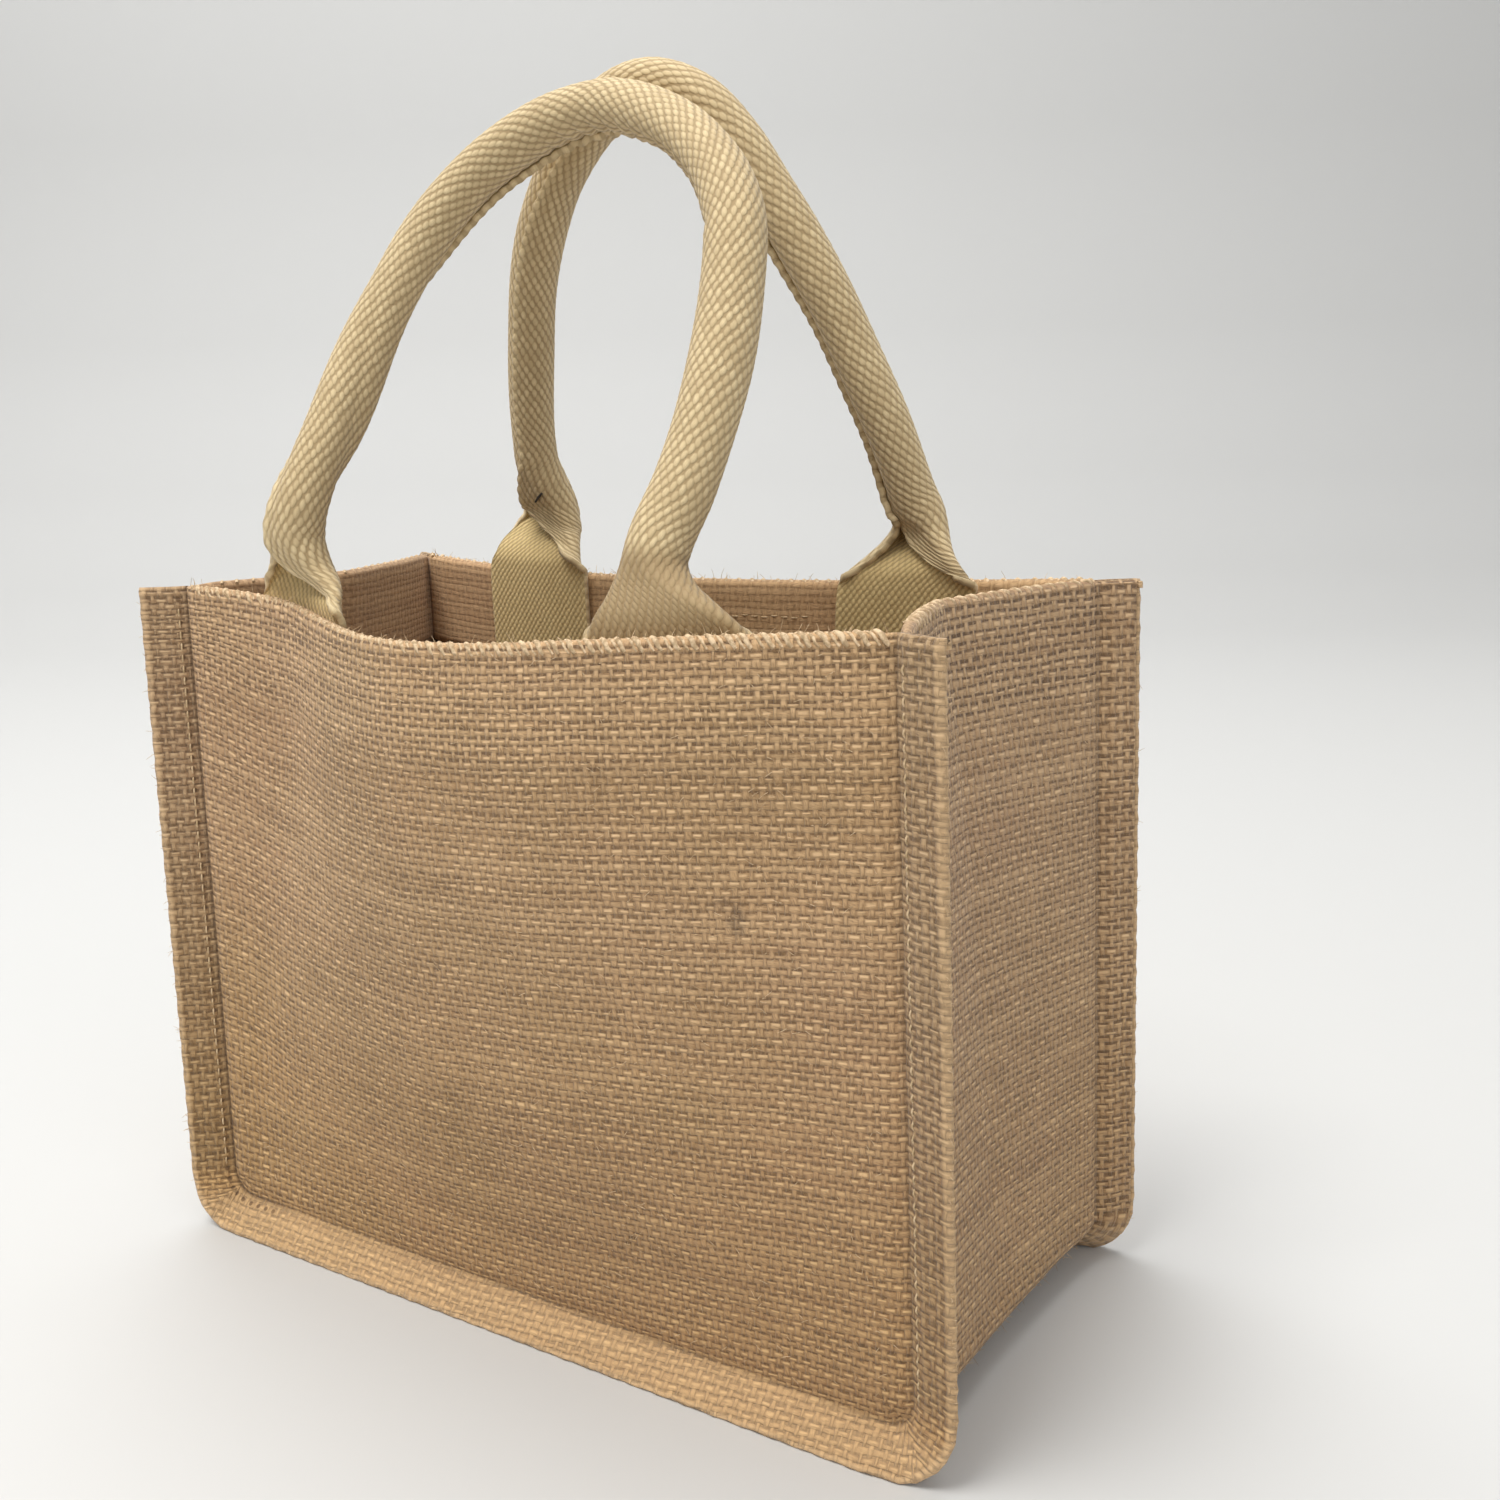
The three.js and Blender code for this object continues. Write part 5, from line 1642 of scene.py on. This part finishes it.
def over_gusset(end, first, last):
    """A loop for every second upright yarn at an end of the gusset."""
    runs = []
    for k in range(0, DEPTH_YARNS, 2):
        across = (k + 0.5 + chance.uniform(-0.2, 0.2)) / DEPTH_YARNS
        if first <= across <= last:
            outward = STATIONS[end][0][1]
            runs.append(loop_over(gusset_point(STATIONS[end], across), outward, Vector((0, 1, 0)), 2.6))
    return runs


strands(
    "rim_yarns",
    over_rim(FRONT, 0.01, 0.995, 4.4)
    + over_rim(BACK, 0.0, 1.0, -3.0)
    + over_gusset(-1, 0.13, 0.97)
    + over_gusset(0, 0.06, 0.97),
    LOOSE_YARN,
)

# %% [markdown]
# The flanges are sewn with one line of thread, a stitch every three millimetres. Each stitch is a short
# arc that dips into its two holes. Smaller stitches on the inside of the back wall hold its hem.

# %% Stitches
HEM_SEAM_DROP = 8.5


def on_flange(wall, u, v, reach, lift):
    """A point on the outer face of a flange."""
    p, _, run, back_way, _ = wall.seam(u, v)
    flat = FLANGE - EDGE_ROLL
    return flange_place(reach / flat, p, run, back_way, flat) - back_way * lift


def stitches(wall, u, low_v, high_v):
    runs = []
    tall = RIM - SEAM_FOOT
    count = int((high_v - low_v) * tall / STITCH)
    for k in range(count):
        points, radii = [], []
        for step in range(5):
            share = step / 4
            v = low_v + (k + 0.14 + 0.72 * share) * STITCH / tall
            lift = mix(CLOTH * 0.2, CLOTH * 0.62, math.sin(math.pi * share))
            points.append(on_flange(wall, u, v, STITCH_LINE, lift))
            radii.append(0.24)
        runs.append((points, radii))
    return runs


def hem_stitches(wall, first, last, below):
    """Small stitches that hold the hem, on its inner face."""
    runs = []
    width = wall.right["rim"][0] - wall.left["rim"][0]
    for k in range(int((last - first) * width / STITCH)):
        points = []
        for step in range(4):
            u = first + (k + 0.2 + 0.2 * step) * STITCH / width
            v = 1 - (below + 0.25 * math.sin(k * 2.1)) / (RIM - SEAM_FOOT)
            lift = LAYER + CLOTH * (0.3 if step in (0, 3) else 0.58)
            points.append(wall.point(u, v) - wall.normal(u, v) * lift)
        runs.append((points, [0.2] * 4))
    return runs


strands(
    "seam_stitches",
    stitches(FRONT, 0.0, 0.05, 0.99)
    + stitches(FRONT, 1.0, 0.05, 0.99)
    + stitches(BACK, 0.0, 0.05, 0.99)
    + hem_stitches(BACK, 0.36, 0.66, HEM_SEAM_DROP)
    + hem_stitches(BACK, 0.9, 0.97, HEM_SEAM_DROP),
    THREAD,
)

# %% [markdown]
# One stitch of dark thread holds the folded end of the back handle. It is a single bent strand.

# %% The dark stitch
DARK_THREAD = yarn_paint("dark_thread", (0.018, 0.014, 0.010, 1), (0.06, 0.048, 0.034, 1))
DARK_STITCH = [Vector((-55.3, 34.5, 205.1)), Vector((-53.7, 33.7, 206.3)), Vector((-52.0, 33.5, 207.7))]
strands("dark_stitch", [(DARK_STITCH, [0.3, 0.42, 0.3])], DARK_THREAD)

# %% [markdown]
# Jute sheds. Short fibres stand off the rim, the flanges and the foot, where the cloth is bent or rubbed,
# and more of them lie flat on the faces. Each is drawn from one seeded source of chance, so every run of
# this script gives the same fibres.

# %% Stray fibres
# Half the thickness of a fibre in millimetres.
FIBRE, RIM_FIBRE = 0.065, 0.07


def hair(root, way, long, thin):
    """A stray fibre that leaves the cloth and curls over."""
    aside = Vector((chance.uniform(-1, 1), chance.uniform(-1, 1), chance.uniform(-1, 1)))
    points = []
    for step in range(4):
        share = step / 3
        points.append(root + way * long * share + aside * long * 0.45 * share * share)
    return points, [thin, thin, thin * 0.8, thin * 0.4]


def rim_hairs(wall, count):
    runs = []
    for _ in range(count):
        u = chance.uniform(0.0, 1.0)
        root = wall.point(u, 1.0) + Vector((0, 0, LAYER / 2))
        way = Vector((chance.uniform(-0.6, 0.6), chance.uniform(-0.5, 0.5), chance.uniform(0.3, 1.0)))
        runs.append(hair(root, way, chance.uniform(0.8, 3.2), RIM_FIBRE))
    return runs


def flange_hairs(wall, u, count):
    runs = []
    for _ in range(count):
        v = chance.uniform(0.02, 1.0)
        p, _, run, back_way, _ = wall.seam(u, v)
        root = flange_place(1.0, p, run, back_way, FLANGE)
        way = run * chance.uniform(0.3, 1.0) + Vector((0, 0, chance.uniform(-0.7, 0.7)))
        runs.append(hair(root, way, chance.uniform(0.6, 2.4), FIBRE))
    return runs


def foot_hairs(wall, count):
    runs = []
    for _ in range(count):
        p, _, run, back_way, _ = wall.seam(chance.uniform(0.04, 0.96), 0.0)
        root = flange_place(1.0, p, run, back_way, FLANGE - 1.0)
        way = run * chance.uniform(0.2, 0.8)
        way += Vector((chance.uniform(-0.7, 0.7), 0, chance.uniform(0.1, 0.6)))
        runs.append(hair(root, way, chance.uniform(0.6, 2.0), FIBRE))
    return runs


def lying_fibres(count, point_at, normal_at):
    """Fibres that lie on a face of the cloth and lift a little at one end."""
    runs = []
    for _ in range(count):
        u, v = chance.uniform(0.02, 0.98), chance.uniform(0.02, 0.99)
        way_u, way_v = chance.uniform(-0.010, 0.010), chance.uniform(-0.009, 0.009)
        bend, rise = chance.uniform(-0.004, 0.004), chance.uniform(0.1, 0.7)
        points = []
        for step in range(4):
            share = step / 3
            at = (
                min(0.995, max(0.005, u + way_u * share)),
                min(0.995, max(0.005, v + way_v * share + bend * share * share)),
            )
            points.append(point_at(*at) + normal_at(*at) * (CLOTH * 0.45 + rise * share))
        runs.append((points, [0.075, 0.08, 0.07, 0.04]))
    return runs


def on_front(u, v):
    """A point of the front cloth with its unevenness."""
    return FRONT.point(u, v) + FRONT.normal(u, v) * ease(FRONT, u, v)


def on_side(share, v):
    """A point of the right side of the gusset."""
    return gusset_point((FRONT.seam(1.0, v), BACK.seam(1.0, v), v, False), share)


def side_foot_hairs(count):
    """Fuzz along the fold at the foot of the right side."""
    runs = []
    for _ in range(count):
        root = on_side(chance.uniform(0.02, 0.98), 0.0)
        way = Vector((chance.uniform(0.1, 0.9), chance.uniform(-0.7, 0.7), chance.uniform(-0.5, 0.3)))
        runs.append(hair(root, way, chance.uniform(0.7, 2.6), FIBRE))
    return runs


# How many fibres each place has.
HAIRS = {
    "side_foot": 110,
    "front_rim": 190,
    "back_rim": 120,
    "front_foot": 60,
    "front_face": 1500,
    "side_face": 500,
    "flange": 90,
}
hairs = side_foot_hairs(HAIRS["side_foot"])
hairs += rim_hairs(FRONT, HAIRS["front_rim"])
hairs += rim_hairs(BACK, HAIRS["back_rim"])
hairs += foot_hairs(FRONT, HAIRS["front_foot"])
hairs += lying_fibres(HAIRS["front_face"], on_front, FRONT.normal)
hairs += lying_fibres(HAIRS["side_face"], on_side, lambda share, v: Vector((1, 0, 0)))
for wall in (FRONT, BACK):
    for u in (0.0, 1.0):
        hairs += flange_hairs(wall, u, HAIRS["flange"])
strands("stray_fibres", hairs, LOOSE_YARN, 0)

# %% [markdown]
# ## How far the cloth stands out
#
# Cloth may stand a little proud of the plain solids, but not much.
